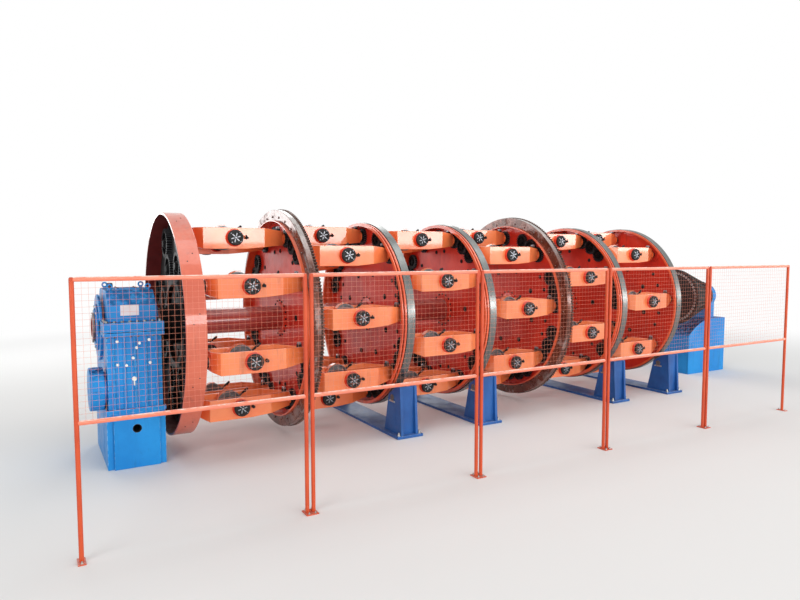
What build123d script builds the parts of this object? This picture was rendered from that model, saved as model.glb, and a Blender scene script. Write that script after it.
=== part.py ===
from build123d import *

import os
from math import cos, radians, sin

# Planetary wire armoring machine: a horizontal cage of eight-cradle bays turning on a hollow tube,
# between a drive gearbox and an exit stand, behind a mesh guard fence.
# Millimetres. X runs along the machine's axis towards the exit, Y away from the fence and Z up.
# The origin is under the middle of the gearbox, on the level that every foot stands on.

# Cage
axis_height = 1580.0
cradles_per_bay = 8
bay_count = 6
bay_pitch = 1365.0
cradle_circle = 1150.0
odd_bay_angle = 26.8
even_bay_angle = 4.3

# Hollow main tube
tube_radius = 165.0
tube_bore_radius = 120.0
tube_tail = 60.0

# Drum with the back-twist gears, open towards the gearbox
drum_gap = 110.0
drum_width = 230.0
drum_wall = 25.0
drum_plate = 25.0
drum_gear_radius = 190.0
drum_gear_room = 45.0
drum_gear_width = 70.0
drum_gear_sides = 16
gear_backlash = 1.0
sun_hub_radius = 260.0
sun_hub_width = 150.0
sun_rim_depth = 80.0
sun_web = 20.0

# Discs, their steel tyres and ring gears
disc_plate = 30.0
rim_width = 250.0
rim_wall = 15.0
rim_margin = 170.0
rim_band_depth = 18.0
tyre_width = 115.0
tyre_depth = 30.0
toothed_discs = (1, 4)
toothed_rim_margin = 200.0
toothed_rim_lip = 40.0
ring_gear_depth = 150.0
ring_gear_width = 120.0
ring_gear_teeth = 132
tooth_depth = 34.0
tooth_root_share = 0.31
tooth_tip_share = 0.14
boss_radius = 235.0
boss_width = 60.0

# Gears that pass the back-twist from the cradles of one bay to those of the next
link_gear_width = 50.0
link_gear_sides = 10

# Cradle, a boat-shaped welded yoke around one bobbin
cradle_left = 80.0
cradle_shoulder = 165.0
cradle_end_room = 115.0
cradle_taper_length = 350.0
cradle_underside_length = 550.0
cradle_half_width = 220.0
cradle_left_half_width = 90.0
cradle_right_half_width = 50.0
cradle_wall = 22.0
cradle_top = 125.0
cradle_bottom = -140.0
cradle_left_bottom = -100.0
cradle_right_top = 75.0
cradle_right_bottom = -70.0
trunnion_radius = 48.0
pintle_x = 550.0
pintle_radius = 95.0
pintle_length = 60.0
brake_radius = 185.0
brake_width = 45.0
small_round_sides = 8
brake_sides = 12

# Gearbox, deeper on the fence side of the axis, where the input shaft lies
gearbox_half_length = 295.0
gearbox_front = 725.0
gearbox_back = 520.0
plinth_height = 650.0
plinth_half_length = 320.0
plinth_recess = 10.0
plinth_panel_half_length = 250.0
plinth_panel_overhang = 15.0
plinth_hole_radius = 50.0
plinth_hole_height = 460.0
foot_flange_thickness = 50.0
lower_flange_thickness = 45.0
upper_flange_thickness = 115.0
flange_overhang = 30.0
cover_half_length = 262.0
cover_setback = 115.0
cover_height = 505.0
cover_chamfer = 195.0
rib_count = 5
rib_inset = 65.0
rib_thickness = 22.0
rib_depth = 22.0
end_boss_radius = 400.0
end_boss_depth = 30.0
bearing_clearance = 0.3
guard_radius = 250.0
guard_length = 150.0
guard_neck_radius = 190.0
guard_height = 270.0
guard_offset = -500.0

# Roller stands under the tyres
roller_radius = 150.0
roller_width = 135.0
roller_angle = 45.0
roller_gap = 0.3
roller_pin_radius = 45.0
roller_pin_length = 25.0
stand_discs = (2, 3, 5, 6)
stand_cheek = 40.0
stand_base = 40.0
stand_lip = 67.5
stand_overhang = 260.0
stand_rise = 170.0
stand_top_width = 90.0
stand_saddle = 30.0
cheek_front = 200.0
cheek_front_foot = 240.0
cheek_back = 110.0
cheek_back_foot = 230.0
front_web = 20.0
front_web_gap = 15.0
anchor_hole_radius = 14.0
anchor_inset = 40.0

# Lay head and exit stand
head_start = 1610.0
head_length = 850.0
head_large_radius = 560.0
head_small_radius = 300.0
tube_nose = 220.0
exit_stand_gap = 30.0
exit_stand_length = 400.0
exit_stand_half_width = 300.0
exit_foot_reach = 775.0
exit_foot_height = 790.0
exit_arch_height = 1120.0
pedestal_length = 160.0
pedestal_half_width = 200.0
pedestal_crown_radius = 240.0

# Guard fence
fence_offset = 2959.0
fence_start = -769.0
fence_panels = 5
fence_pitch = 2000.0
fence_tube = 50.0
fence_gap = 14.0
fence_floor = 738.0
fence_height = 1558.0
fence_lower_rail = 398.0
fence_bars = 3
fence_bar = 12.0
foot_plate = 140.0
foot_plate_thickness = 10.0

os.makedirs("parts", exist_ok=True)

# Sizes that follow from those above
cage_start = gearbox_half_length + end_boss_depth + drum_gap + drum_width
drum_radius = cradle_circle + drum_gear_radius + drum_gear_room + drum_wall
tyre_inner = cradle_circle + rim_margin
tyre_radius = tyre_inner + tyre_depth
ring_gear_inner = cradle_circle + toothed_rim_margin
ring_gear_radius = ring_gear_inner + ring_gear_depth
cradle_right = bay_pitch - cradle_end_room
cradle_taper = cradle_right - cradle_taper_length
cradle_underside_taper = cradle_right - cradle_underside_length
gearbox_depth = gearbox_front + gearbox_back
gearbox_middle = (gearbox_back - gearbox_front) / 2

cage_axis = Axis((0, 0, axis_height), (1, 0, 0))
bays = range(1, bay_count + 1)


def save(piece, name):
    """Label a finished piece and write it under its own name."""
    piece.part.label = name
    export_step(piece.part, f"parts/{name}.step")


def across(x):
    """The plane square to the axis at x, with its origin on the axis."""
    return Plane(origin=(x, 0, axis_height), x_dir=(0, 1, 0), z_dir=(1, 0, 0))


def disc_face(number):
    """The exit-side face of a numbered disc; number 0 is the drum's own plate."""
    return cage_start + number * bay_pitch


def bay_angle(bay):
    """How far a bay's first cradle stands above the horizontal on the fence side."""
    return odd_bay_angle if bay % 2 else even_bay_angle


def around(radius, first_angle, count=cradles_per_bay):
    """Evenly spread places on a circle about the axis, counted up from the fence side."""
    turns = [radians(first_angle + 360 / count * step) for step in range(count)]
    return [(-radius * cos(turn), radius * sin(turn)) for turn in turns]


def toothed_outline(tip_radius, root_radius, teeth):
    """Corners of straight-sided teeth all the way round a circle."""
    corners = []
    for tooth in range(teeth):
        for radius, lean in (
            (root_radius, -tooth_root_share),
            (tip_radius, -tooth_tip_share),
            (tip_radius, tooth_tip_share),
            (root_radius, tooth_root_share),
        ):
            turn = radians(360 / teeth * (tooth + lean))
            corners.append((radius * cos(turn), radius * sin(turn)))
    return corners


# Hollow main tube, from behind the gearbox to the exit stand
tube_start = -gearbox_half_length - end_boss_depth - tube_tail
head_x = disc_face(bay_count) + head_start
tube_end = head_x + head_length + tube_nose
with BuildPart() as main_tube:
    with BuildSketch(across(tube_start)):
        Circle(tube_radius)
        Circle(tube_bore_radius, mode=Mode.SUBTRACT)
    extrude(amount=tube_end - tube_start)
save(main_tube, "main_tube")

# Drum shell and the plate that closes it on the cage side
drum_x = cage_start - drum_width
with BuildPart() as drum_shell:
    with BuildSketch(across(drum_x)):
        Circle(drum_radius)
        Circle(drum_radius - drum_wall, mode=Mode.SUBTRACT)
    extrude(amount=drum_width)
save(drum_shell, "drum_shell")

plate_x = cage_start - drum_plate
with BuildPart() as drum_back_plate:
    with BuildSketch(across(plate_x)):
        Circle(drum_radius - drum_wall)
        Circle(tube_radius, mode=Mode.SUBTRACT)
    extrude(amount=drum_plate)
save(drum_back_plate, "drum_back_plate")

# Back-twist gears in the drum: sun, idlers and one planet for each cradle of the first bay
gear_x = plate_x - drum_gear_width
idler_circle = cradle_circle - 2 * drum_gear_radius
sun_radius = idler_circle - drum_gear_radius
gear_blank_radius = drum_gear_radius - gear_backlash
with BuildPart() as drum_gears:
    with BuildSketch(across(gear_x)):
        with Locations(*around(cradle_circle, bay_angle(1)), *around(idler_circle, bay_angle(1))):
            RegularPolygon(gear_blank_radius, drum_gear_sides)
    extrude(amount=drum_gear_width)
save(drum_gears, "drum_gears")

with BuildPart() as sun_gear:
    with BuildSketch(across(gear_x)):
        Circle(sun_radius - gear_backlash)
        Circle(sun_radius - sun_rim_depth, mode=Mode.SUBTRACT)
    extrude(amount=drum_gear_width)
    with BuildSketch(across(plate_x - sun_web)):
        Circle(sun_radius - sun_rim_depth)
    extrude(amount=sun_web)
    with BuildSketch(across(plate_x - sun_hub_width)):
        Circle(sun_hub_radius)
    extrude(amount=sun_hub_width)
    with BuildSketch(across(plate_x - sun_hub_width)):
        Circle(tube_radius)
    extrude(amount=sun_hub_width, mode=Mode.SUBTRACT)
save(sun_gear, "sun_gear")

# Cage discs: a plate with a rim turned back towards the drive and a boss on the tube
for number in bays:
    face_x = disc_face(number)
    toothed = number in toothed_discs
    rim_radius = ring_gear_inner if toothed else tyre_inner
    rim_reach = ring_gear_width + toothed_rim_lip if toothed else rim_width
    with BuildPart() as cage_disc:
        with BuildSketch(across(face_x - disc_plate)):
            Circle(rim_radius)
        extrude(amount=disc_plate)
        with BuildSketch(across(face_x - rim_reach)):
            Circle(rim_radius)
            Circle(rim_radius - rim_wall, mode=Mode.SUBTRACT)
        extrude(amount=rim_reach - disc_plate)
        if number in stand_discs:
            with BuildSketch(across(face_x - rim_width)):
                Circle(rim_radius + rim_band_depth)
                Circle(rim_radius - rim_wall, mode=Mode.SUBTRACT)
            extrude(amount=rim_width - tyre_width)
        with BuildSketch(across(face_x)):
            Circle(boss_radius)
        extrude(amount=boss_width)
        with BuildSketch(across(face_x - disc_plate)):
            Circle(tube_radius)
        extrude(amount=disc_plate + boss_width, mode=Mode.SUBTRACT)
    save(cage_disc, f"cage_disc_{number}")

# Steel tyres that run on the support rollers
for number in stand_discs:
    with BuildPart() as tyre:
        with BuildSketch(across(disc_face(number) - tyre_width)):
            Circle(tyre_radius)
            Circle(tyre_inner, mode=Mode.SUBTRACT)
        extrude(amount=tyre_width)
    save(tyre, f"tyre_{number}")

# Ring gears on the two toothed discs
ring_gear_corners = toothed_outline(ring_gear_radius, ring_gear_radius - tooth_depth, ring_gear_teeth)
for number in toothed_discs:
    with BuildPart() as ring_gear:
        with BuildSketch(across(disc_face(number) - ring_gear_width)):
            with BuildLine():
                Polyline(*ring_gear_corners, close=True)
            make_face()
            Circle(ring_gear_inner, mode=Mode.SUBTRACT)
        extrude(amount=ring_gear_width)
    save(ring_gear, f"ring_gear_{number}")

# Link gears on the drive side of each disc that has a bay on both sides
link_x = -disc_plate - link_gear_width
link_radius = cradle_circle * sin(radians((odd_bay_angle - even_bay_angle) / 4)) - gear_backlash
link_angles = (even_bay_angle, (odd_bay_angle + even_bay_angle) / 2, odd_bay_angle)
for number in range(1, bay_count):
    with BuildPart() as link_gears:
        with BuildSketch(across(disc_face(number) + link_x)):
            for angle in link_angles:
                with Locations(*around(cradle_circle, angle)):
                    RegularPolygon(link_radius, link_gear_sides)
        extrude(amount=link_gear_width)
    save(link_gears, f"link_gears_{number}")


def make_cradle(right_trunnion_end):
    """One cradle in its own frame: X from the bay's start, Z up, trunnions on the X axis."""
    with BuildPart() as cradle:
        with BuildSketch(Plane.XY.offset(cradle_bottom)) as plan:
            with BuildLine():
                Polyline(
                    (cradle_left, cradle_left_half_width),
                    (cradle_shoulder, cradle_half_width),
                    (cradle_taper, cradle_half_width),
                    (cradle_right, cradle_right_half_width),
                    (cradle_right, -cradle_right_half_width),
                    (cradle_taper, -cradle_half_width),
                    (cradle_shoulder, -cradle_half_width),
                    (cradle_left, -cradle_left_half_width),
                    close=True,
                )
            make_face()
            offset(amount=-cradle_wall, kind=Kind.INTERSECTION, mode=Mode.SUBTRACT)
        extrude(amount=cradle_top - cradle_bottom)
        with BuildSketch(Plane.XZ.offset(-cradle_half_width)):
            with BuildLine():
                Polyline(
                    (cradle_left, cradle_left_bottom),
                    (cradle_shoulder, cradle_bottom),
                    (cradle_underside_taper, cradle_bottom),
                    (cradle_right, cradle_right_bottom),
                    (cradle_right, cradle_right_top),
                    (cradle_taper, cradle_top),
                    (cradle_left, cradle_top),
                    close=True,
                )
            make_face()
        extrude(amount=2 * cradle_half_width, mode=Mode.INTERSECT)
        with BuildSketch(Plane.YZ):
            RegularPolygon(trunnion_radius, small_round_sides)
        extrude(amount=cradle_left)
        with BuildSketch(Plane.YZ.offset(cradle_right)):
            RegularPolygon(trunnion_radius, small_round_sides)
        extrude(amount=right_trunnion_end - cradle_right)
        with BuildSketch(Plane.XZ.offset(cradle_half_width)):
            with Locations((pintle_x, 0)):
                RegularPolygon(pintle_radius, small_round_sides)
        extrude(amount=pintle_length)
        with BuildSketch(Plane.XZ.offset(-cradle_half_width)):
            with Locations((pintle_x, 0)):
                RegularPolygon(brake_radius, brake_sides)
        extrude(amount=-brake_width)
    return cradle.part


# Cradles, all level, each between the discs on either side of its bay
for bay in bays:
    plate_face = bay_pitch - disc_plate
    seat = plate_face if bay == bay_count else plate_face - link_gear_width
    shape = make_cradle(seat)
    with BuildPart() as cradles:
        for y, z in around(cradle_circle, bay_angle(bay)):
            with Locations((disc_face(bay - 1), y, axis_height + z)):
                add(shape)
    save(cradles, f"cradles_bay_{bay}")

# Lay head, a cone on the tube
with BuildPart() as lay_head:
    with BuildSketch(Plane(origin=(0, 0, axis_height), x_dir=(1, 0, 0), z_dir=(0, -1, 0))):
        with BuildLine():
            Polyline(
                (head_x, tube_radius),
                (head_x, head_large_radius),
                (head_x + head_length, head_small_radius),
                (head_x + head_length, tube_radius),
                close=True,
            )
        make_face()
    revolve(axis=cage_axis)
save(lay_head, "lay_head")

# Gearbox plinth: a welded box with a raised panel on its front and back, and a duct through it
panel_depth = gearbox_depth + 2 * plinth_panel_overhang
with BuildPart() as gearbox_plinth:
    with BuildSketch():
        with Locations((0, gearbox_middle)):
            Rectangle(2 * plinth_half_length, gearbox_depth - 2 * plinth_recess)
            Rectangle(2 * plinth_panel_half_length, panel_depth)
    extrude(amount=plinth_height)
    with BuildSketch(Plane.XZ.offset(gearbox_front + plinth_panel_overhang)):
        with Locations((0, plinth_hole_height)):
            Circle(plinth_hole_radius)
    extrude(amount=-panel_depth, mode=Mode.SUBTRACT)
save(gearbox_plinth, "gearbox_plinth")

# Gearbox, split at the height of the tube, with a round bearing boss on each end
flange_half_length = gearbox_half_length + flange_overhang
flange_depth = gearbox_depth + 2 * flange_overhang
boss_half_length = gearbox_half_length + end_boss_depth
rib_pitch = 2 * (gearbox_half_length - rib_inset) / (rib_count - 1)
with BuildPart() as gearbox_housing:
    with BuildSketch(Plane.XY.offset(plinth_height)):
        with Locations((0, gearbox_middle)):
            Rectangle(2 * gearbox_half_length, gearbox_depth)
            with GridLocations(rib_pitch, 0, rib_count, 1):
                Rectangle(rib_thickness, gearbox_depth + 2 * rib_depth)
    extrude(amount=axis_height - plinth_height)
    with BuildSketch(Plane.XY.offset(plinth_height)):
        with Locations((0, gearbox_middle)):
            Rectangle(2 * flange_half_length, flange_depth)
    extrude(amount=foot_flange_thickness)
    with BuildSketch(Plane.XY.offset(axis_height - lower_flange_thickness)):
        with Locations((0, gearbox_middle)):
            Rectangle(2 * flange_half_length, flange_depth)
    extrude(amount=lower_flange_thickness)
    with BuildSketch(across(-boss_half_length)):
        Circle(end_boss_radius)
    extrude(amount=2 * boss_half_length)
    split(bisect_by=Plane.XY.offset(axis_height), keep=Keep.BOTTOM)
    with BuildSketch(across(-boss_half_length)):
        Circle(tube_radius + bearing_clearance)
    extrude(amount=2 * boss_half_length, mode=Mode.SUBTRACT)
save(gearbox_housing, "gearbox_housing")

with BuildPart() as gearbox_cover:
    with BuildSketch(Plane.XY.offset(axis_height)):
        with Locations((0, gearbox_middle)):
            Rectangle(2 * cover_half_length, gearbox_depth - 2 * cover_setback)
    extrude(amount=cover_height)
    top_edges = gearbox_cover.edges().group_by(Axis.Z)[-1]
    chamfer(top_edges.filter_by(Axis.X), length=cover_chamfer)
    with BuildSketch(Plane.XY.offset(axis_height)):
        with Locations((0, gearbox_middle)):
            Rectangle(2 * flange_half_length, flange_depth)
    extrude(amount=upper_flange_thickness)
    with BuildSketch(across(-boss_half_length)):
        Circle(end_boss_radius)
    extrude(amount=2 * boss_half_length)
    split(bisect_by=Plane.XY.offset(axis_height), keep=Keep.TOP)
    with BuildSketch(across(-boss_half_length)):
        Circle(tube_radius + bearing_clearance)
    extrude(amount=2 * boss_half_length, mode=Mode.SUBTRACT)
save(gearbox_cover, "gearbox_cover")

# Round guard over the input coupling, on a narrower neck
guard_centre = (guard_offset, plinth_height + guard_height)
with BuildPart() as coupling_guard:
    with BuildSketch(Plane.YZ.offset(-gearbox_half_length)):
        with Locations(guard_centre):
            Circle(guard_neck_radius)
    extrude(amount=-flange_overhang)
    with BuildSketch(Plane.YZ.offset(-flange_half_length)):
        with Locations(guard_centre):
            Circle(guard_radius)
    extrude(amount=-guard_length)
save(coupling_guard, "coupling_guard")

# Support rollers under the tyres
roller_circle = tyre_radius + roller_radius + roller_gap
roller_side = roller_circle * cos(radians(roller_angle))
roller_drop = roller_circle * sin(radians(roller_angle))
cheek_inner = roller_width / 2 + roller_pin_length
with BuildPart() as support_rollers:
    for number in stand_discs:
        middle = disc_face(number) - tyre_width / 2
        with BuildSketch(across(middle - cheek_inner)):
            with Locations((-roller_side, -roller_drop), (roller_side, -roller_drop)):
                RegularPolygon(roller_pin_radius, small_round_sides)
        extrude(amount=2 * cheek_inner)
        with BuildSketch(across(middle - roller_width / 2)):
            with Locations((-roller_side, -roller_drop), (roller_side, -roller_drop)):
                Circle(roller_radius)
        extrude(amount=roller_width)
save(support_rollers, "support_rollers")

# Welded stands that carry the rollers: two cheeks on a base, and a web that closes each outer side
roller_height = axis_height - roller_drop
base_width = 2 * (roller_side + stand_overhang)
stand_half_length = cheek_inner + stand_cheek + stand_lip
stand_top = roller_height + stand_rise
web_side = roller_side + roller_radius + front_web_gap + front_web / 2
for number in stand_discs:
    middle = disc_face(number) - tyre_width / 2
    with BuildPart() as roller_stand:
        with BuildSketch():
            with Locations((middle, 0)):
                Rectangle(2 * stand_half_length, base_width)
                with GridLocations(
                    2 * (stand_half_length - anchor_inset), base_width - 2 * anchor_inset, 2, 2
                ):
                    Circle(anchor_hole_radius, mode=Mode.SUBTRACT)
        extrude(amount=stand_base)
        for cheek_x in (middle - cheek_inner - stand_cheek, middle + cheek_inner):
            with BuildSketch(Plane.YZ.offset(cheek_x)):
                with BuildLine():
                    Polyline(
                        (roller_side + cheek_front_foot, stand_base),
                        (roller_side + cheek_front, stand_top),
                        (roller_side + cheek_front - stand_top_width, stand_top),
                        (roller_side - cheek_back, roller_height + stand_saddle),
                        (roller_side - cheek_back_foot, stand_base),
                        close=True,
                    )
                make_face()
                mirror(about=Plane.YZ)
            extrude(amount=stand_cheek)
        with BuildSketch(Plane.XY.offset(stand_base)):
            with Locations((middle, -web_side), (middle, web_side)):
                Rectangle(2 * cheek_inner, front_web)
        extrude(amount=stand_top - stand_base)
    save(roller_stand, f"roller_stand_{number}")

# Exit stand: an arched base that rises under the lay head to the pedestal of the tube's last bearing
stand_x = head_x + head_length + exit_stand_gap
toe_x = stand_x - exit_foot_reach
stand_end_x = stand_x + exit_stand_length
pedestal_height = axis_height - exit_arch_height
with BuildPart() as exit_stand:
    with BuildSketch(Plane.XZ.offset(-exit_stand_half_width)):
        with BuildLine():
            TangentArc((stand_x, exit_arch_height), (toe_x, exit_foot_height), tangent=(-1, 0))
            Polyline(
                (toe_x, exit_foot_height),
                (toe_x, 0),
                (stand_end_x, 0),
                (stand_end_x, exit_arch_height),
                (stand_x, exit_arch_height),
            )
        make_face()
    extrude(amount=2 * exit_stand_half_width)
    with BuildSketch(across(stand_x)):
        Circle(pedestal_crown_radius)
        with Locations((0, -pedestal_height / 2)):
            Rectangle(2 * pedestal_half_width, pedestal_height)
        Circle(tube_radius + bearing_clearance, mode=Mode.SUBTRACT)
    extrude(amount=pedestal_length)
save(exit_stand, "exit_stand")

# Guard fence: separate panels, each with its own two posts down to the level of the feet
panel_width = fence_pitch - fence_gap
post_spread = (panel_width - fence_tube) / 2
top_z = fence_floor + fence_height
lower_z = fence_floor + fence_lower_rail
for panel in range(fence_panels):
    centre_x = fence_start + (panel + 0.5) * fence_pitch
    opening = panel_width - 2 * fence_tube
    rails = (lower_z, top_z - fence_tube / 2)
    with BuildPart() as fence_panel:
        with BuildSketch():
            with Locations((centre_x - post_spread, -fence_offset), (centre_x + post_spread, -fence_offset)):
                Rectangle(fence_tube, fence_tube)
        extrude(amount=top_z)
        with BuildSketch():
            with Locations((centre_x - post_spread, -fence_offset), (centre_x + post_spread, -fence_offset)):
                Rectangle(fence_tube + fence_gap, foot_plate)
        extrude(amount=foot_plate_thickness)
        with BuildSketch(Plane.YZ.offset(centre_x - opening / 2)):
            with Locations(*[(-fence_offset, height) for height in rails]):
                Rectangle(fence_tube, fence_tube)
        extrude(amount=opening)
        with BuildSketch(Plane.XZ.offset(fence_offset - fence_bar / 2)):
            with Locations((centre_x, (rails[0] + rails[1]) / 2)):
                with GridLocations(opening / (fence_bars + 1), 0, fence_bars, 1):
                    Rectangle(fence_bar, rails[1] - rails[0] - fence_tube)
        extrude(amount=fence_bar)
    save(fence_panel, f"fence_panel_{panel + 1}")
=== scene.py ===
"""Looks of a planetary wire armoring machine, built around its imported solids.

Metres. X runs along the machine's axis towards the exit, Y away from the guard fence, Z up.
"""

from __future__ import annotations

import logging
import math
from dataclasses import dataclass
from enum import Enum
from itertools import product
from typing import Iterable, Sequence

import bmesh
import bpy
from mathutils import Matrix, Vector

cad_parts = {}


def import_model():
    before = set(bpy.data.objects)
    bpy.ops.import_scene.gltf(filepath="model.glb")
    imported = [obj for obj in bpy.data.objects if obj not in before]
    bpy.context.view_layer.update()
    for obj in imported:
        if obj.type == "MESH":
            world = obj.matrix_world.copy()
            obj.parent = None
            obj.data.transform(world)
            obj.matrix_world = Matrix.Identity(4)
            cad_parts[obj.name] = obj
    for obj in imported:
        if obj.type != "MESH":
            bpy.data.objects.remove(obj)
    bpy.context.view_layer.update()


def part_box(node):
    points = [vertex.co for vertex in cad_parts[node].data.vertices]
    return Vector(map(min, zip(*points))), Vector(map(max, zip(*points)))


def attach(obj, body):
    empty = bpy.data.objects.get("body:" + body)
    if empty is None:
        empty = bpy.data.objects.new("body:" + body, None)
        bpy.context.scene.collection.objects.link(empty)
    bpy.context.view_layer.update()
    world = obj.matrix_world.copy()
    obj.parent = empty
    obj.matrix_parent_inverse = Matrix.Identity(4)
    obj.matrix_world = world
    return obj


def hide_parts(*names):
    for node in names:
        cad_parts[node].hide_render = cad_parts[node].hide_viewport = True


LOG = logging.getLogger("armoring_machine")

FRAME_BODY = "frame"
CAGE_BODY = "cage"
BAYS = range(1, 7)
TYRE_DISCS = (2, 3, 5, 6)
TOOTHED_DISCS = (1, 4)
LINK_DISCS = range(1, 6)
CRADLES_PER_BAY = 8
CRADLE_CIRCLE = 1.150
ODD_BAY_ANGLE = 26.8
EVEN_BAY_ANGLE = 4.3
# Share of the pale edge colour on tooth tips: partly wear, partly a painted glint.
TIP_WEAR_AND_GLINT = 0.3
TIP_SHARE = 0.14
ROOT_SHARE = 0.31
HEAD_TAPER = 0.92
COAT_ROUGHNESS = 0.06
WELD_DISTANCE = 1e-5
ROUNDED_ANGLE = math.radians(25)
WORN_ANGLE = math.radians(30)
SMOOTH_ANGLE = math.radians(35)
PROFILE_ALONG_X = Matrix(((0, 0, 1, 0), (1, 0, 0, 0), (0, 1, 0, 0), (0, 0, 0, 1)))

Colour = tuple[float, float, float]
Outline = Sequence[tuple[float, float]]
Socket = bpy.types.NodeSocket


class Slot(Enum):
    """Material slots of the record, named beside each new piece's finish."""

    GEARBOX = "gearbox_blue"
    STAND = "stand_blue"
    DARK_STEEL = "dark_steel"
    FENCE = "fence_orange"
    DISC = "disc_red"
    DRUM = "drum_orange"
    GEARS = "black_gears"
    STEEL = "steel"
    CRADLE = "cradle_orange"
    IRON = "black_iron"


class Along(Enum):
    """Directions that a round or flat piece can be made along."""

    X = Matrix.Rotation(math.radians(90), 4, "Y")
    MINUS_X = Matrix.Rotation(math.radians(-90), 4, "Y")
    Y = Matrix.Rotation(math.radians(-90), 4, "X")
    MINUS_Y = Matrix.Rotation(math.radians(90), 4, "X")
    Z = Matrix.Identity(4)
    MINUS_Z = Matrix.Rotation(math.radians(180), 4, "X")


class Nodes:
    """A node tree, with a short call for each kind of node that more than one tree needs."""

    def __init__(self, tree: bpy.types.NodeTree) -> None:
        """Take hold of a tree.

        Args:
            tree: The tree that gets the nodes.
        """
        self.nodes = tree.nodes
        self.links = tree.links

    def feed(self, socket: Socket, value: Socket | float | Sequence[float]) -> None:
        """Link a socket to another, or set its own value.

        Args:
            socket: The input to fill.
            value: An output to link, or a plain value.
        """
        if isinstance(value, bpy.types.NodeSocket):
            self.links.new(value, socket)
        else:
            socket.default_value = value

    def calc(
        self, operation: str, first: Socket | float, second: Socket | float, third: float = 0.0
    ) -> Socket:
        """One step of arithmetic.

        Args:
            operation: The Math node's operation.
            first: The first value.
            second: The second value.
            third: The number that a multiply-add adds.

        Returns:
            The result.
        """
        node = self.nodes.new("ShaderNodeMath")
        node.operation = operation
        for socket, value in zip(node.inputs, (first, second, third)):
            self.feed(socket, value)
        return node.outputs["Value"]

    def seen(self) -> Socket:
        """1 for the camera, gloss and glass, and 0 for the light that falls on the machine."""
        path = self.nodes.new("ShaderNodeLightPath")
        direct = self.calc("MAXIMUM", path.outputs["Is Camera Ray"], path.outputs["Is Glossy Ray"])
        return self.calc("MAXIMUM", direct, path.outputs["Is Transmission Ray"])


class Recipe(Nodes):
    """The node tree of one finish."""

    def __init__(self, name: str) -> None:
        """Start an empty finish.

        Args:
            name: The material's name.
        """
        self.material = bpy.data.materials.new(name)
        self.material.use_nodes = True
        super().__init__(self.material.node_tree)
        self.shader = self.nodes["Principled BSDF"]
        self.coordinates = self.nodes.new("ShaderNodeTexCoord")

    def noise(
        self,
        scale: float,
        detail: float = 4.0,
        roughness: float = 0.6,
        stretch: Sequence[float] = (1, 1, 1),
    ) -> Socket:
        """Cloudy noise on the object's own coordinates.

        Args:
            scale: How many clouds there are to the metre.
            detail: How many octaves the noise has.
            roughness: How strong the fine octaves are.
            stretch: The factor along each axis.

        Returns:
            The noise, about 0.3 to 0.7.
        """
        place = self.nodes.new("ShaderNodeMapping")
        self.links.new(self.coordinates.outputs["Object"], place.inputs["Vector"])
        place.inputs["Scale"].default_value = stretch
        node = self.nodes.new("ShaderNodeTexNoise")
        self.links.new(place.outputs["Vector"], node.inputs["Vector"])
        node.inputs["Scale"].default_value = scale
        node.inputs["Detail"].default_value = detail
        node.inputs["Roughness"].default_value = roughness
        return node.outputs["Fac"]

    def between(self, source: Socket, low: float, high: float, to: float = 1.0) -> Socket:
        """Rise smoothly from 0 to a top as a value goes from low to high.

        Args:
            source: The value read.
            low: Where the rise starts.
            high: Where it ends.
            to: The value at the end.

        Returns:
            The risen value.
        """
        node = self.nodes.new("ShaderNodeMapRange")
        node.interpolation_type = "SMOOTHSTEP"
        self.links.new(source, node.inputs["Value"])
        node.inputs["From Min"].default_value = low
        node.inputs["From Max"].default_value = high
        node.inputs["To Max"].default_value = to
        return node.outputs["Result"]

    def mix(self, share: Socket | float, under: Socket | Colour, over: Socket | Colour) -> Socket:
        """Lay one colour over another.

        Args:
            share: How much of the upper colour shows.
            under: The lower colour.
            over: The upper colour.

        Returns:
            The mixed colour.
        """
        node = self.nodes.new("ShaderNodeMix")
        node.data_type = "RGBA"
        self.feed(node.inputs["Factor"], share)
        for socket, colour in ((node.inputs[6], under), (node.inputs[7], over)):
            self.feed(socket, colour if isinstance(colour, bpy.types.NodeSocket) else (*colour, 1.0))
        return node.outputs[2]

    def upward(self) -> Socket:
        """How far a surface faces up, from -1 to 1."""
        node = self.nodes.new("ShaderNodeSeparateXYZ")
        self.links.new(self.coordinates.outputs["Normal"], node.inputs["Vector"])
        return node.outputs["Z"]

    def edge_marks(self) -> Socket:
        """How strongly the edges are marked on the mesh, for wear and for a painted edge highlight."""
        node = self.nodes.new("ShaderNodeAttribute")
        node.attribute_name = "edge"
        return node.outputs["Fac"]

    def bump(self, height: Socket, depth: float, strength: float = 1.0) -> None:
        """Raise the surface by a height.

        Args:
            height: The height's pattern.
            depth: The full height in metres.
            strength: How much of it counts.
        """
        node = self.nodes.new("ShaderNodeBump")
        node.inputs["Strength"].default_value = strength
        node.inputs["Distance"].default_value = depth
        self.links.new(height, node.inputs["Height"])
        self.links.new(node.outputs["Normal"], self.shader.inputs["Normal"])


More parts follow.
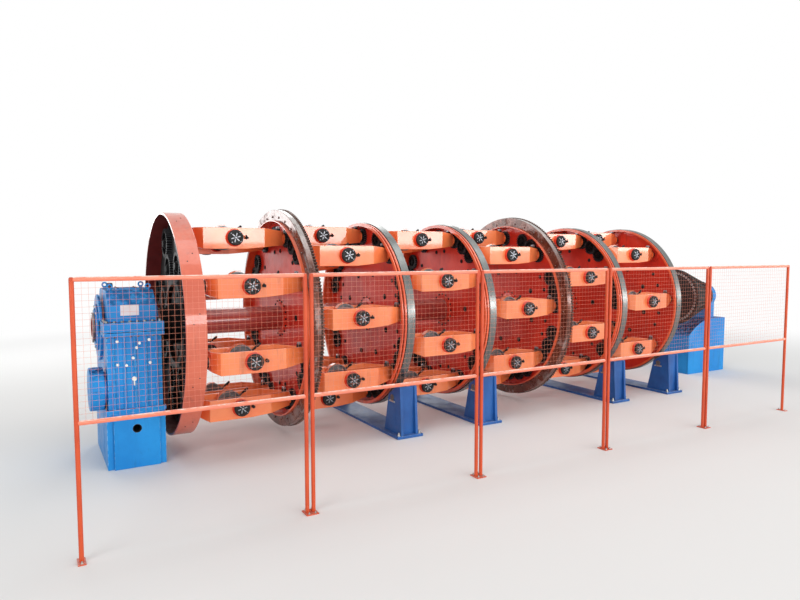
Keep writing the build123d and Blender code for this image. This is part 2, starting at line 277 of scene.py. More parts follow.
@dataclass(frozen=True)
class Enamel:
    """Sprayed machine enamel: cloudy colour, oily soil, a top colour on upward faces that is dust on most
    finishes and painted shade or painted highlight on some, and pale edges that are partly worn paint and
    partly painted edge highlight.
    """

    name: str
    colour: Colour
    shade: Colour
    soil: Colour = (0.05, 0.035, 0.03)
    roughness: float = 0.33
    soiling: float = 0.45
    dust_and_top_light_share: float = 0.25
    runs: float = 0.25
    wear: float = 0.6
    gloss: float = 0.4
    coat: float = 0.0
    worn_and_highlit: Colour = (0.62, 0.30, 0.20)
    dust_and_top_light: Colour = (0.55, 0.50, 0.46)

    def make(self) -> bpy.types.Material:
        """Build the finish.

        Returns:
            The material.
        """
        recipe = Recipe(self.name)
        clouds = recipe.noise(1.7, 5.0)
        mottle = recipe.noise(16.0, 5.0)
        paint = recipe.mix(recipe.between(clouds, 0.36, 0.66), self.shade, self.colour)
        paint = recipe.mix(recipe.between(mottle, 0.52, 0.80, 0.35), paint, self.shade)
        drips = recipe.noise(9.0, 4.0, 0.65, (1.0, 1.0, 0.12))
        soiled = recipe.calc("MULTIPLY", recipe.between(drips, 0.56, 0.74), self.runs)
        patches = recipe.noise(4.2, 7.0, 0.68)
        patched = recipe.calc("MULTIPLY", recipe.between(patches, 0.60, 0.78), self.soiling)
        paint = recipe.mix(recipe.calc("MAXIMUM", soiled, patched), paint, self.soil)
        # Upward faces take the top colour: real dust on most finishes, painted shade on the gearbox and a
        # painted highlight on the fence rails.
        top_share = recipe.between(recipe.upward(), 0.45, 0.85, self.dust_and_top_light_share)
        top_dust_and_light = recipe.calc("MULTIPLY", top_share, recipe.between(mottle, 0.30, 0.62))
        paint = recipe.mix(top_dust_and_light, paint, self.dust_and_top_light)
        # Marked edges take the pale edge colour: partly worn paint, partly a painted edge highlight.
        edge_breakup = recipe.between(recipe.noise(21.0, 3.0), 0.44, 0.58)
        edge = recipe.calc("MULTIPLY", recipe.edge_marks(), edge_breakup)
        edge = recipe.calc("MULTIPLY", edge, self.wear)
        recipe.feed(recipe.shader.inputs["Base Color"], recipe.mix(edge, paint, self.worn_and_highlit))
        matt = recipe.calc("MULTIPLY_ADD", recipe.between(patches, 0.40, 0.75), 0.25, self.roughness)
        matt = recipe.calc("ADD", matt, recipe.calc("MULTIPLY", top_dust_and_light, 0.5))
        recipe.feed(recipe.shader.inputs["Roughness"], matt)
        recipe.shader.inputs["Specular IOR Level"].default_value = self.gloss
        recipe.shader.inputs["Coat Weight"].default_value = self.coat
        recipe.shader.inputs["Coat Roughness"].default_value = COAT_ROUGHNESS
        peel = recipe.calc("ADD", recipe.noise(70.0, 2.0), recipe.calc("MULTIPLY", mottle, 1.5))
        recipe.bump(peel, 0.0008, 0.6)
        return recipe.material


@dataclass(frozen=True)
class Steel:
    """Bare or blackened steel: mill skin, oil, rust bloom and bright rubbed edges, which on the gear finishes
    are also painted glints.
    """

    name: str
    colour: Colour
    bright: Colour = (0.62, 0.61, 0.58)
    rust: Colour = (0.23, 0.10, 0.05)
    rusting: float = 0.0
    metallic: float = 0.9
    roughness: float = 0.38
    scuffing: float = 0.35
    gloss: float = 0.5
    turning: Sequence[float] = (1, 1, 1)

    def make(self) -> bpy.types.Material:
        """Build the finish.

        Returns:
            The material.
        """
        recipe = Recipe(self.name)
        clouds = recipe.noise(3.1, 6.0)
        scuffs = recipe.noise(24.0, 6.0, 0.7, self.turning)
        skin = recipe.mix(recipe.between(scuffs, 0.50, 0.72, self.scuffing), self.colour, self.bright)
        rusted = recipe.between(clouds, 0.54, 0.72, self.rusting)
        skin = recipe.mix(rusted, skin, self.rust)
        edge = recipe.calc("MULTIPLY", recipe.edge_marks(), recipe.between(scuffs, 0.30, 0.55))
        recipe.feed(recipe.shader.inputs["Base Color"], recipe.mix(edge, skin, self.bright))
        recipe.shader.inputs["Metallic"].default_value = self.metallic
        recipe.shader.inputs["Specular IOR Level"].default_value = self.gloss
        matt = recipe.calc("MULTIPLY_ADD", recipe.between(clouds, 0.35, 0.75), 0.3, self.roughness)
        recipe.feed(recipe.shader.inputs["Roughness"], matt)
        recipe.bump(scuffs, 0.0006, 0.5)
        return recipe.material


@dataclass(frozen=True)
class Primer:
    """Rust-brown primed steel with pale grease smeared over it, and the same pale colour on upward faces as a
    painted highlight.
    """

    name: str
    colour: Colour = (0.175, 0.056, 0.034)
    deep: Colour = (0.085, 0.026, 0.017)
    grease_and_sheen: Colour = (0.66, 0.66, 0.64)
    smearing: float = 0.9
    top_share: float = 0.6

    def make(self) -> bpy.types.Material:
        """Build the finish.

        Returns:
            The material.
        """
        recipe = Recipe(self.name)
        base = recipe.mix(recipe.between(recipe.noise(5.0, 6.0), 0.35, 0.68), self.deep, self.colour)
        smear = recipe.noise(3.4, 8.0, 0.75)
        streak = recipe.noise(14.0, 5.0, 0.7, (3.0, 0.5, 0.5))
        pale = recipe.calc("MULTIPLY", recipe.between(smear, 0.50, 0.60), recipe.between(streak, 0.40, 0.56))
        edge = recipe.calc("MULTIPLY", recipe.edge_marks(), recipe.between(streak, 0.35, 0.5))
        pale = recipe.calc("MULTIPLY", recipe.calc("MAXIMUM", pale, edge), self.smearing)
        # Upward faces take the pale colour as well: a painted highlight for glare from above.
        top_share = recipe.between(recipe.upward(), 0.45, 0.90, self.top_share)
        top_share = recipe.calc("MULTIPLY", top_share, recipe.between(streak, 0.30, 0.50))
        pale = recipe.calc("MAXIMUM", pale, top_share)
        recipe.feed(recipe.shader.inputs["Base Color"], recipe.mix(pale, base, self.grease_and_sheen))
        recipe.shader.inputs["Metallic"].default_value = 0.2
        recipe.feed(recipe.shader.inputs["Roughness"], recipe.between(smear, 0.35, 0.7, 0.6))
        recipe.bump(smear, 0.0015, 0.6)
        return recipe.material


@dataclass(frozen=True)
class Ground:
    """The plain pale studio floor, which fades to the white of the backdrop far from the machine."""

    name: str = "pale_floor"
    colour: Colour = (0.80, 0.80, 0.79)
    middle: tuple[float, float, float] = (5.0, 0.0, 0.0)
    fade_start: float = 6.0
    fade_end: float = 16.0

    def make(self) -> bpy.types.Material:
        """Build the finish.

        Returns:
            The material.
        """
        recipe = Recipe(self.name)
        recipe.shader.inputs["Base Color"].default_value = (*self.colour, 1.0)
        recipe.shader.inputs["Roughness"].default_value = 0.8
        away = recipe.nodes.new("ShaderNodeVectorMath")
        away.operation = "DISTANCE"
        recipe.links.new(recipe.coordinates.outputs["Object"], away.inputs[0])
        away.inputs[1].default_value = self.middle
        fade = recipe.between(away.outputs["Value"], self.fade_start, self.fade_end)
        white = recipe.nodes.new("ShaderNodeEmission")
        blend = recipe.nodes.new("ShaderNodeMixShader")
        recipe.links.new(recipe.calc("MULTIPLY", fade, recipe.seen()), blend.inputs["Fac"])
        recipe.links.new(recipe.shader.outputs["BSDF"], blend.inputs[1])
        recipe.links.new(white.outputs["Emission"], blend.inputs[2])
        recipe.links.new(blend.outputs["Shader"], recipe.nodes["Material Output"].inputs["Surface"])
        return recipe.material


class Finish(Enum):
    """Every finish on the machine."""

    CRADLE_ORANGE = Enamel(
        "cradle_orange_enamel",
        (0.88, 0.245, 0.082),
        (0.83, 0.185, 0.055),
        soiling=0.25,
        dust_and_top_light_share=0.10,
        roughness=0.30,
        gloss=0.4,
        coat=1.0,
    )
    # A deeper, shaded copy of the cradle paint: painted shade on the pintle bosses.
    BOSS_RED = Enamel("boss_shaded_red_enamel", (0.80, 0.050, 0.014), (0.66, 0.032, 0.010), soiling=0.2)
    DISC_RED = Enamel(
        "disc_red_enamel",
        (0.80, 0.062, 0.030),
        (0.62, 0.036, 0.020),
        soiling=0.35,
        dust_and_top_light_share=0.10,
        gloss=0.2,
        coat=0.22,
    )
    RIM_ORANGE = Enamel("rim_orange_enamel", (0.82, 0.135, 0.045), (0.68, 0.085, 0.030), coat=0.5)
    DRUM_ORANGE = Enamel(
        "drum_orange_enamel",
        (0.66, 0.145, 0.078),
        (0.55, 0.100, 0.050),
        coat=0.7,
        roughness=0.4,
        soiling=0.3,
        dust_and_top_light_share=0.1,
    )
    MAROON = Enamel(
        "maroon_enamel", (0.17, 0.022, 0.020), (0.11, 0.014, 0.013), soiling=0.5, dust_and_top_light_share=0.1, gloss=0.2
    )
    # Near-black lining for the rim's groove and gaps: painted shade.
    DARK_MAROON = Enamel("groove_shade_enamel", (0.07, 0.008, 0.006), (0.03, 0.004, 0.004), dust_and_top_light_share=0.0)
    TUBE_RED = Enamel("tube_red_enamel", (0.42, 0.050, 0.036), (0.30, 0.032, 0.024), runs=0.4, coat=0.8)
    # Upward and sloped faces take a dark blue: painted shade, as if they reflected a dark roof. The pale blue
    # edges are partly a painted edge highlight.
    GEARBOX_BLUE = Enamel(
        "gearbox_blue_enamel",
        (0.014, 0.268, 0.660),
        (0.010, 0.210, 0.570),
        soil=(0.01, 0.05, 0.14),
        worn_and_highlit=(0.40, 0.62, 0.80),
        dust_and_top_light=(0.004, 0.035, 0.13),
        dust_and_top_light_share=0.95,
        gloss=0.25,
    )
    STAND_BLUE = Enamel(
        "stand_blue_enamel",
        (0.018, 0.115, 0.38),
        (0.012, 0.075, 0.27),
        soil=(0.01, 0.015, 0.03),
        worn_and_highlit=(0.35, 0.45, 0.6),
        dust_and_top_light=(0.30, 0.33, 0.36),
        soiling=0.6,
    )
    FENCE_ORANGE = Enamel(
        "fence_orange_paint",
        (0.61, 0.082, 0.022),
        (0.54, 0.060, 0.016),
        roughness=0.36,
        soiling=0.2,
        runs=0.1,
        gloss=0.25,
        coat=0.35,
    )
    # The rails' paint is a paler, lit copy of the posts' fence paint, with a near-white painted highlight on
    # upward faces for light from above.
    RAIL_ORANGE = Enamel(
        "fence_rail_lit_paint",
        (0.82, 0.235, 0.140),
        (0.76, 0.185, 0.105),
        dust_and_top_light=(0.97, 0.72, 0.62),
        dust_and_top_light_share=1.0,
        wear=0.3,
        soiling=0.1,
        runs=0.0,
        coat=0.35,
    )
    # The wires' pale salmon is a lit copy of the fence paint: painted light.
    MESH_SALMON = Enamel(
        "fence_mesh_lit_paint",
        (0.78, 0.30, 0.21),
        (0.66, 0.22, 0.14),
        soiling=0.1,
        dust_and_top_light_share=0.0,
        runs=0.0,
        gloss=0.2,
    )
    # The pale edge colour on these black gears is a painted glint on the tooth tips.
    GEAR_BLACK = Steel(
        "gear_black_steel",
        (0.009, 0.009, 0.010),
        (0.22, 0.22, 0.24),
        scuffing=0.03,
        metallic=0.0,
        gloss=0.07,
    )
    BLACK_IRON = Steel(
        "black_iron", (0.010, 0.010, 0.012), (0.20, 0.20, 0.21), scuffing=0.08, metallic=0.0, gloss=0.25
    )
    TYRE_STEEL = Steel(
        "tyre_steel",
        (0.17, 0.18, 0.175),
        (0.46, 0.46, 0.44),
        rusting=0.2,
        roughness=0.26,
        scuffing=0.3,
        turning=(6, 1, 1),
    )
    ROLLER_STEEL = Steel("roller_steel", (0.20, 0.20, 0.20), rusting=0.3, turning=(5, 1, 1))
    BRIGHT_STEEL = Steel("bright_steel", (0.52, 0.52, 0.50), rusting=0.1, roughness=0.25)
    PLUG_STEEL = Steel(
        "bright_plug_steel", (0.86, 0.85, 0.80), (0.95, 0.95, 0.92), metallic=0.2, roughness=0.3
    )
    BRAKE_GREY = Steel("brake_grey_steel", (0.13, 0.135, 0.14), rusting=0.15, metallic=0.5)
    # Light grey for keeper bars, nut and bolts: partly their steel, partly painted glints on the dark pintle
    # cap.
    CAP_STEEL = Steel("cap_keeper_glint_steel", (0.30, 0.31, 0.34), metallic=0.6, roughness=0.30)
    RING_PRIMER = Primer("ring_gear_primer", smearing=0.22)
    # The pale tip colour on the ring teeth is partly worn steel, partly a painted glint.
    TOOTH_STEEL = Steel(
        "ring_tooth_steel", (0.045, 0.020, 0.016), (0.24, 0.15, 0.12), rusting=0.3, metallic=0.3, gloss=0.3
    )
    PLATE_GREY = Steel("bare_plate_aluminium", (0.72, 0.66, 0.68), metallic=0.3, roughness=0.5)
    FLOOR = Ground()

    def material(self) -> bpy.types.Material:
        """The finish as a material, made once."""
        return bpy.data.materials.get(self.value.name) or self.value.make()


def raised(part: bmesh.types.BMesh) -> list[bmesh.types.BMVert]:
    """Extrude every face of a mesh, and give the new corners, which haven't moved yet."""
    made = bmesh.ops.extrude_face_region(part, geom=part.faces[:])["geom"]
    return [item for item in made if isinstance(item, bmesh.types.BMVert)]


def doubled(part: bmesh.types.BMesh, outline: Outline, hole: Outline = ()) -> list[bmesh.types.BMVert]:
    """Fill a flat outline round its hole and extrude it.

    Args:
        part: The mesh that gets it.
        outline: Its corners.
        hole: Corners of a hole, as many as the outline has.

    Returns:
        The extruded side's corners, which haven't moved yet.
    """
    loops = []
    for corners in filter(None, (outline, hole)):
        verts = [part.verts.new((x, y, 0)) for x, y in corners]
        loops.append([part.edges.new(pair) for pair in zip(verts, verts[1:] + verts[:1])])
    if hole:
        bmesh.ops.bridge_loops(part, edges=loops[0] + loops[1])
    else:
        bmesh.ops.edgeloop_fill(part, edges=loops[0])
    return raised(part)


class Shape:
    """A mesh in the making, in the machine's own frame."""

    def __init__(self) -> None:
        """Start with nothing."""
        self.bm = bmesh.new()

    def spun(
        self,
        profile: Outline,
        centre: Vector,
        segments: int = 48,
        along: Along = Along.X,
    ) -> Shape:
        """Spin a closed outline once round an axis.

        Args:
            profile: Corners as distance along the axis and radius.
            centre: The point that the distances count from.
            segments: How many steps the turn has.
            along: The axis.

        Returns:
            This shape.
        """
        part = bmesh.new()
        corners = [part.verts.new((radius, 0, step)) for step, radius in profile]
        for here, there in zip(corners, corners[1:] + corners[:1]):
            part.edges.new((here, there))
        bmesh.ops.spin(
            part,
            geom=part.verts[:] + part.edges[:],
            cent=(0, 0, 0),
            axis=(0, 0, 1),
            angle=math.tau,
            steps=segments,
            use_merge=True,
        )
        bmesh.ops.remove_doubles(part, verts=part.verts, dist=WELD_DISTANCE)
        return self.take(part, Matrix.Translation(centre) @ along.value)

    def prism(
        self, outline: Outline, depth: float, base: Matrix, bevel: float = 0.0, hole: Outline = ()
    ) -> Shape:
        """Raise a flat outline into a solid.

        Args:
            outline: Corners in the base's own plane.
            depth: How far it is raised along the base's normal.
            base: Where the plane lies.
            bevel: The width of the rounding on its edges.
            hole: Corners of a hole with as many corners as the outline.

        Returns:
            This shape.
        """
        part = bmesh.new()
        bmesh.ops.translate(part, verts=doubled(part, outline, hole), vec=(0, 0, depth))
        if bevel:
            self.round_off(part, bevel, 2)
        return self.take(part, base)

    def block(
        self, low: Sequence[float], high: Sequence[float], bevel: float = 0.0, segments: int = 2
    ) -> Shape:
        """A box between two corners.

        Args:
            low: The lowest corner.
            high: The highest corner.
            bevel: The width of the rounding on its edges.
            segments: How many steps the rounding has.

        Returns:
            This shape.
        """
        start, end = Vector(low), Vector(high)
        part = bmesh.new()
        size = end - start
        grow = Matrix.Diagonal((abs(size.x), abs(size.y), abs(size.z), 1))
        bmesh.ops.create_cube(part, size=1.0, matrix=grow)
        if bevel:
            self.round_off(part, bevel, segments)
        return self.take(part, Matrix.Translation((start + end) / 2))

    def rod(
        self,
        start: Sequence[float],
        end: Sequence[float],
        radius: float,
        segments: int = 16,
        tip: float | None = None,
    ) -> Shape:
        """A round bar or cone between two points.

        Args:
            start: The centre of the first end.
            end: The centre of the second end.
            radius: The first end's radius.
            segments: How many sides it has.
            tip: The second end's radius, if it differs.

        Returns:
            This shape.
        """
        first, last = Vector(start), Vector(end)
        run = last - first
        turn = run.to_track_quat("Z", "Y").to_matrix().to_4x4()
        part = bmesh.new()
        bmesh.ops.create_cone(
            part,
            cap_ends=True,
            segments=segments,
            radius1=radius,
            radius2=radius if tip is None else tip,
            depth=run.length,
        )
        return self.take(part, Matrix.Translation((first + last) / 2) @ turn)

    def bent(self, points: Sequence[Sequence[float]], radius: float) -> Shape:
        """A round bar that follows several points.

        Args:
            points: The corners of its line.
            radius: Its radius.

        Returns:
            This shape.
        """
        for here, there in zip(points, points[1:]):
            self.rod(here, there, radius, 8)
        for joint in points[1:-1]:
            part = bmesh.new()
            bmesh.ops.create_icosphere(part, subdivisions=2, radius=radius)
            self.take(part, Matrix.Translation(joint))
        return self

    def toothed(
        self,
        centre: Vector,
        radius: float,
        bore: float,
        teeth: int,
        tooth: float,
        width: float,
        phase: float = 0.0,
    ) -> Shape:
        """A toothed ring round an axis along X.

        Args:
            centre: The middle of its drive-side face.
            radius: The radius at the tooth tips.
            bore: The radius of the hole.
            teeth: How many teeth it has.
            tooth: How deep they are.
            width: How thick the ring is.
            phase: The angle of its first tooth in degrees, from across towards up.

        Returns:
            This shape.
        """
        part = bmesh.new()
        bmesh.ops.create_circle(part, segments=4 * teeth, radius=radius)
        part.verts.ensure_lookup_table()
        shares = (-ROOT_SHARE, -TIP_SHARE, TIP_SHARE, ROOT_SHARE)
        for step, vert in enumerate(part.verts[:]):
            turn = math.tau / teeth * (step // 4 + shares[step % 4])
            reach = radius if step % 4 in (1, 2) else radius - tooth
            vert.co = Vector((-math.sin(turn), math.cos(turn), 0)) * reach
        inner = bmesh.ops.extrude_edge_only(part, edges=part.edges[:])["geom"]
        for vert in (item for item in inner if isinstance(item, bmesh.types.BMVert)):
            vert.co = vert.co.normalized() * bore
        bmesh.ops.translate(part, verts=raised(part), vec=(0, 0, width))
        # Tooth tips take the pale edge colour: partly wear, partly a painted glint.
        tips = part.verts.layers.float.new("edge")
        for vert in part.verts:
            vert[tips] = TIP_WEAR_AND_GLINT if vert.co.xy.length > radius - tooth * 0.3 else 0.0
        turn = Matrix.Rotation(math.radians(phase), 4, "X")
        return self.take(part, Matrix.Translation(centre) @ turn @ Along.X.value)

    def bolts(self, spots: Iterable[Vector], along: Along, radius: float, height: float) -> Shape:
        """Six-sided bolt heads standing on a face.

        Args:
            spots: Where each head meets the face.
            along: The way the heads point.
            radius: A head's radius over its corners.
            height: How far a head stands out.

        Returns:
            This shape.
        """
        way = along.value.to_3x3() @ Vector((0, 0, 1))
        for spot in spots:
            self.rod(spot, spot + way * height, radius, 6, radius * HEAD_TAPER)
        return self

    def copies(self, pattern: Shape, places: Iterable[Matrix]) -> Shape:
        """Add a finished pattern at several places.

        Args:
            pattern: The shape to repeat.
            places: Where each copy goes.

        Returns:
            This shape.
        """
        mesh = bpy.data.meshes.new("pattern")
        pattern.bm.to_mesh(mesh)
        for place in places:
            self._add_mesh(mesh, place)
        bpy.data.meshes.remove(mesh)
        return self

    def round_off(self, part: bmesh.types.BMesh, width: float, segments: int) -> None:
        """Round every sharp edge of a part, and mark the new edges as places that wear bright and take a
        painted edge highlight.

        Args:
            part: The mesh to round.
            width: The rounding's width.
            segments: How many steps it has.
        """
        part.normal_update()
        sharp = [edge for edge in part.edges if edge.calc_face_angle(0.0) > ROUNDED_ANGLE]
        bmesh.ops.bevel(
            part,
            geom=sharp,
            offset=width,
            offset_type="OFFSET",
            affect="EDGES",
            segments=segments,
            profile=0.5,
            material=-1,
        )
        part.normal_update()
        worn_and_highlit = part.verts.layers.float.get("edge") or part.verts.layers.float.new("edge")
        for edge in part.edges:
            if edge.is_convex and edge.calc_face_angle(0.0) > WORN_ANGLE:
                for vert in edge.verts:
                    vert[worn_and_highlit] = 1.0

    def take(self, part: bmesh.types.BMesh, place: Matrix) -> Shape:
        """Add a part and let it go.

        Args:
            part: The mesh to add.
            place: Where it goes.

        Returns:
            This shape.
        """
        bmesh.ops.recalc_face_normals(part, faces=part.faces)
        mesh = bpy.data.meshes.new("part")
        part.to_mesh(mesh)
        part.free()
        self._add_mesh(mesh, place)
        bpy.data.meshes.remove(mesh)
        return self

    def _add_mesh(self, mesh: bpy.types.Mesh, place: Matrix) -> None:
        """Add a mesh at a place.

        Args:
            mesh: The mesh to add.
            place: Where it goes.
        """
        if self.bm.verts.layers.float.get("edge") is None:
            self.bm.verts.layers.float.new("edge")
        if "edge" not in mesh.attributes:
            mesh.attributes.new("edge", "FLOAT", "POINT")
        mesh.transform(place)
        if place.is_negative:
            mesh.flip_normals()
        self.bm.from_mesh(mesh)
        mesh.transform(place.inverted())
        if place.is_negative:
            mesh.flip_normals()

    def piece(
        self, name: str, finish: Finish, slot: Slot, body: str, replaces: Sequence[str] = ()
    ) -> None:
        """Turn the shape into a piece of the machine.

        Args:
            name: The piece's name.
            finish: Its finish.
            slot: The record's material slot that it belongs to; not used.
            body: The body that it moves with.
            replaces: The nodes that it stands for.
        """
        for face in self.bm.faces:
            face.smooth = True
        for edge in self.bm.edges:
            edge.smooth = edge.calc_face_angle(math.pi) < SMOOTH_ANGLE
        mesh = bpy.data.meshes.new(name)
        self.bm.to_mesh(mesh)
        self.bm.free()
        mesh.materials.append(finish.material())
        made = bpy.data.objects.new(name, mesh)
        bpy.context.scene.collection.objects.link(made)
        made.modifiers.new("flat_faces_stay_flat", "WEIGHTED_NORMAL").keep_sharp = True
        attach(made, body)
        if replaces:
            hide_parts(*replaces)
        LOG.info("%s: %d faces", name, len(mesh.polygons))


def bay_angle(bay: int) -> float:
    """How far a bay's first cradle stands above the horizontal, in degrees."""
    return ODD_BAY_ANGLE if bay % 2 else EVEN_BAY_ANGLE


def shrunk(outline: Outline, wall: float) -> list[tuple[float, float]]:
    """Offset a closed outline inwards.

    Args:
        outline: Corners in order, clockwise.
        wall: How far the new outline lies inside.

    Returns:
        The inner corners.
    """
    inner = []
    count = len(outline)
    for step, corner in enumerate(outline):
        here = Vector(corner)
        before = (here - Vector(outline[step - 1])).normalized()
        after = (Vector(outline[(step + 1) % count]) - here).normalized()
        sides = Vector((before.y, -before.x)), Vector((after.y, -after.x))
        lean = (sides[0] + sides[1]).normalized()
        inner.append(tuple(here + lean * wall / lean.dot(sides[0])))
    return inner


def framed(
    low: tuple[float, float], high: tuple[float, float], centre: tuple[float, float], count: int
) -> list[tuple[float, float]]:
    """Corners along a rectangle, one on each ray from a hole's centre, with its own four kept.

    Args:
        low: The rectangle's lowest corner.
        high: Its highest corner.
        centre: The hole's centre.
        count: How many corners are wanted.

    Returns:
        The corners in order.
    """
    rim = []
    for step in range(count):
        way = (math.cos(math.tau * step / count), math.sin(math.tau * step / count))
        reach = min(
            ((high if part > 0 else low)[axis] - centre[axis]) / part
            for axis, part in enumerate(way)
            if abs(part) > 1e-9
        )
        rim.append((centre[0] + way[0] * reach, centre[1] + way[1] * reach))
    for corner in product((low[0], high[0]), (low[1], high[1])):
        nearest = min(range(count), key=lambda step: math.dist(rim[step], corner))
        rim[nearest] = corner
    return rim


@dataclass
class Layout:
    """Places that every sub-assembly needs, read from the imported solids."""

    axis_z: float
    tube_radius: float
    tube_ends: tuple[float, float]
    faces: dict[int, float]
    drum_ends: tuple[float, float]
    drum_radius: float

    @classmethod
    def read(cls) -> Layout:
        """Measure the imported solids.

        Returns:
            The layout.
        """
        low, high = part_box("main_tube")
        drum_low, drum_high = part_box("drum_shell")
        faces = {number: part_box(f"tyre_{number}")[1].x for number in TYRE_DISCS}
        faces.update({number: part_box(f"ring_gear_{number}")[1].x for number in TOOTHED_DISCS})
        faces[0] = drum_high.x
        return cls(
            axis_z=(low.z + high.z) / 2,
            tube_radius=(high.y - low.y) / 2,
            tube_ends=(low.x, high.x),
            faces=faces,
            drum_ends=(drum_low.x, drum_high.x),
            drum_radius=(drum_high.y - drum_low.y) / 2,
        )

    def at(self, x: float) -> Vector:
        """The axis's point at a distance along the machine."""
        return Vector((x, 0, self.axis_z))

    def spot(self, x: float, radius: float, angle: float) -> Vector:
        """A point on a circle about the axis.

        Args:
            x: The distance along the machine.
            radius: The circle's radius.
            angle: The angle above the fence side's horizontal, in degrees.

        Returns:
            The point.
        """
        turn = math.radians(angle)
        return self.at(x) + Vector((0, -math.cos(turn), math.sin(turn))) * radius

    def ring(self, x: float, radius: float, first: float, count: int = CRADLES_PER_BAY) -> list[Vector]:
        """Evenly spread points on a circle about the axis.

        Args:
            x: The distance along the machine.
            radius: The circle's radius.
            first: The first point's angle in degrees, counted as a spot's.
            count: How many points there are.

        Returns:
            The points.
        """
        return [self.spot(x, radius, first + 360 / count * step) for step in range(count)]

    def eighths(self) -> list[Matrix]:
        """The turns about the axis that carry one cradle place to the next."""
        centre = Matrix.Translation(self.at(0))
        steps = range(CRADLES_PER_BAY)
        turns = [Matrix.Rotation(math.tau / CRADLES_PER_BAY * step, 4, "X") for step in steps]
        return [centre @ turn @ centre.inverted() for turn in turns]


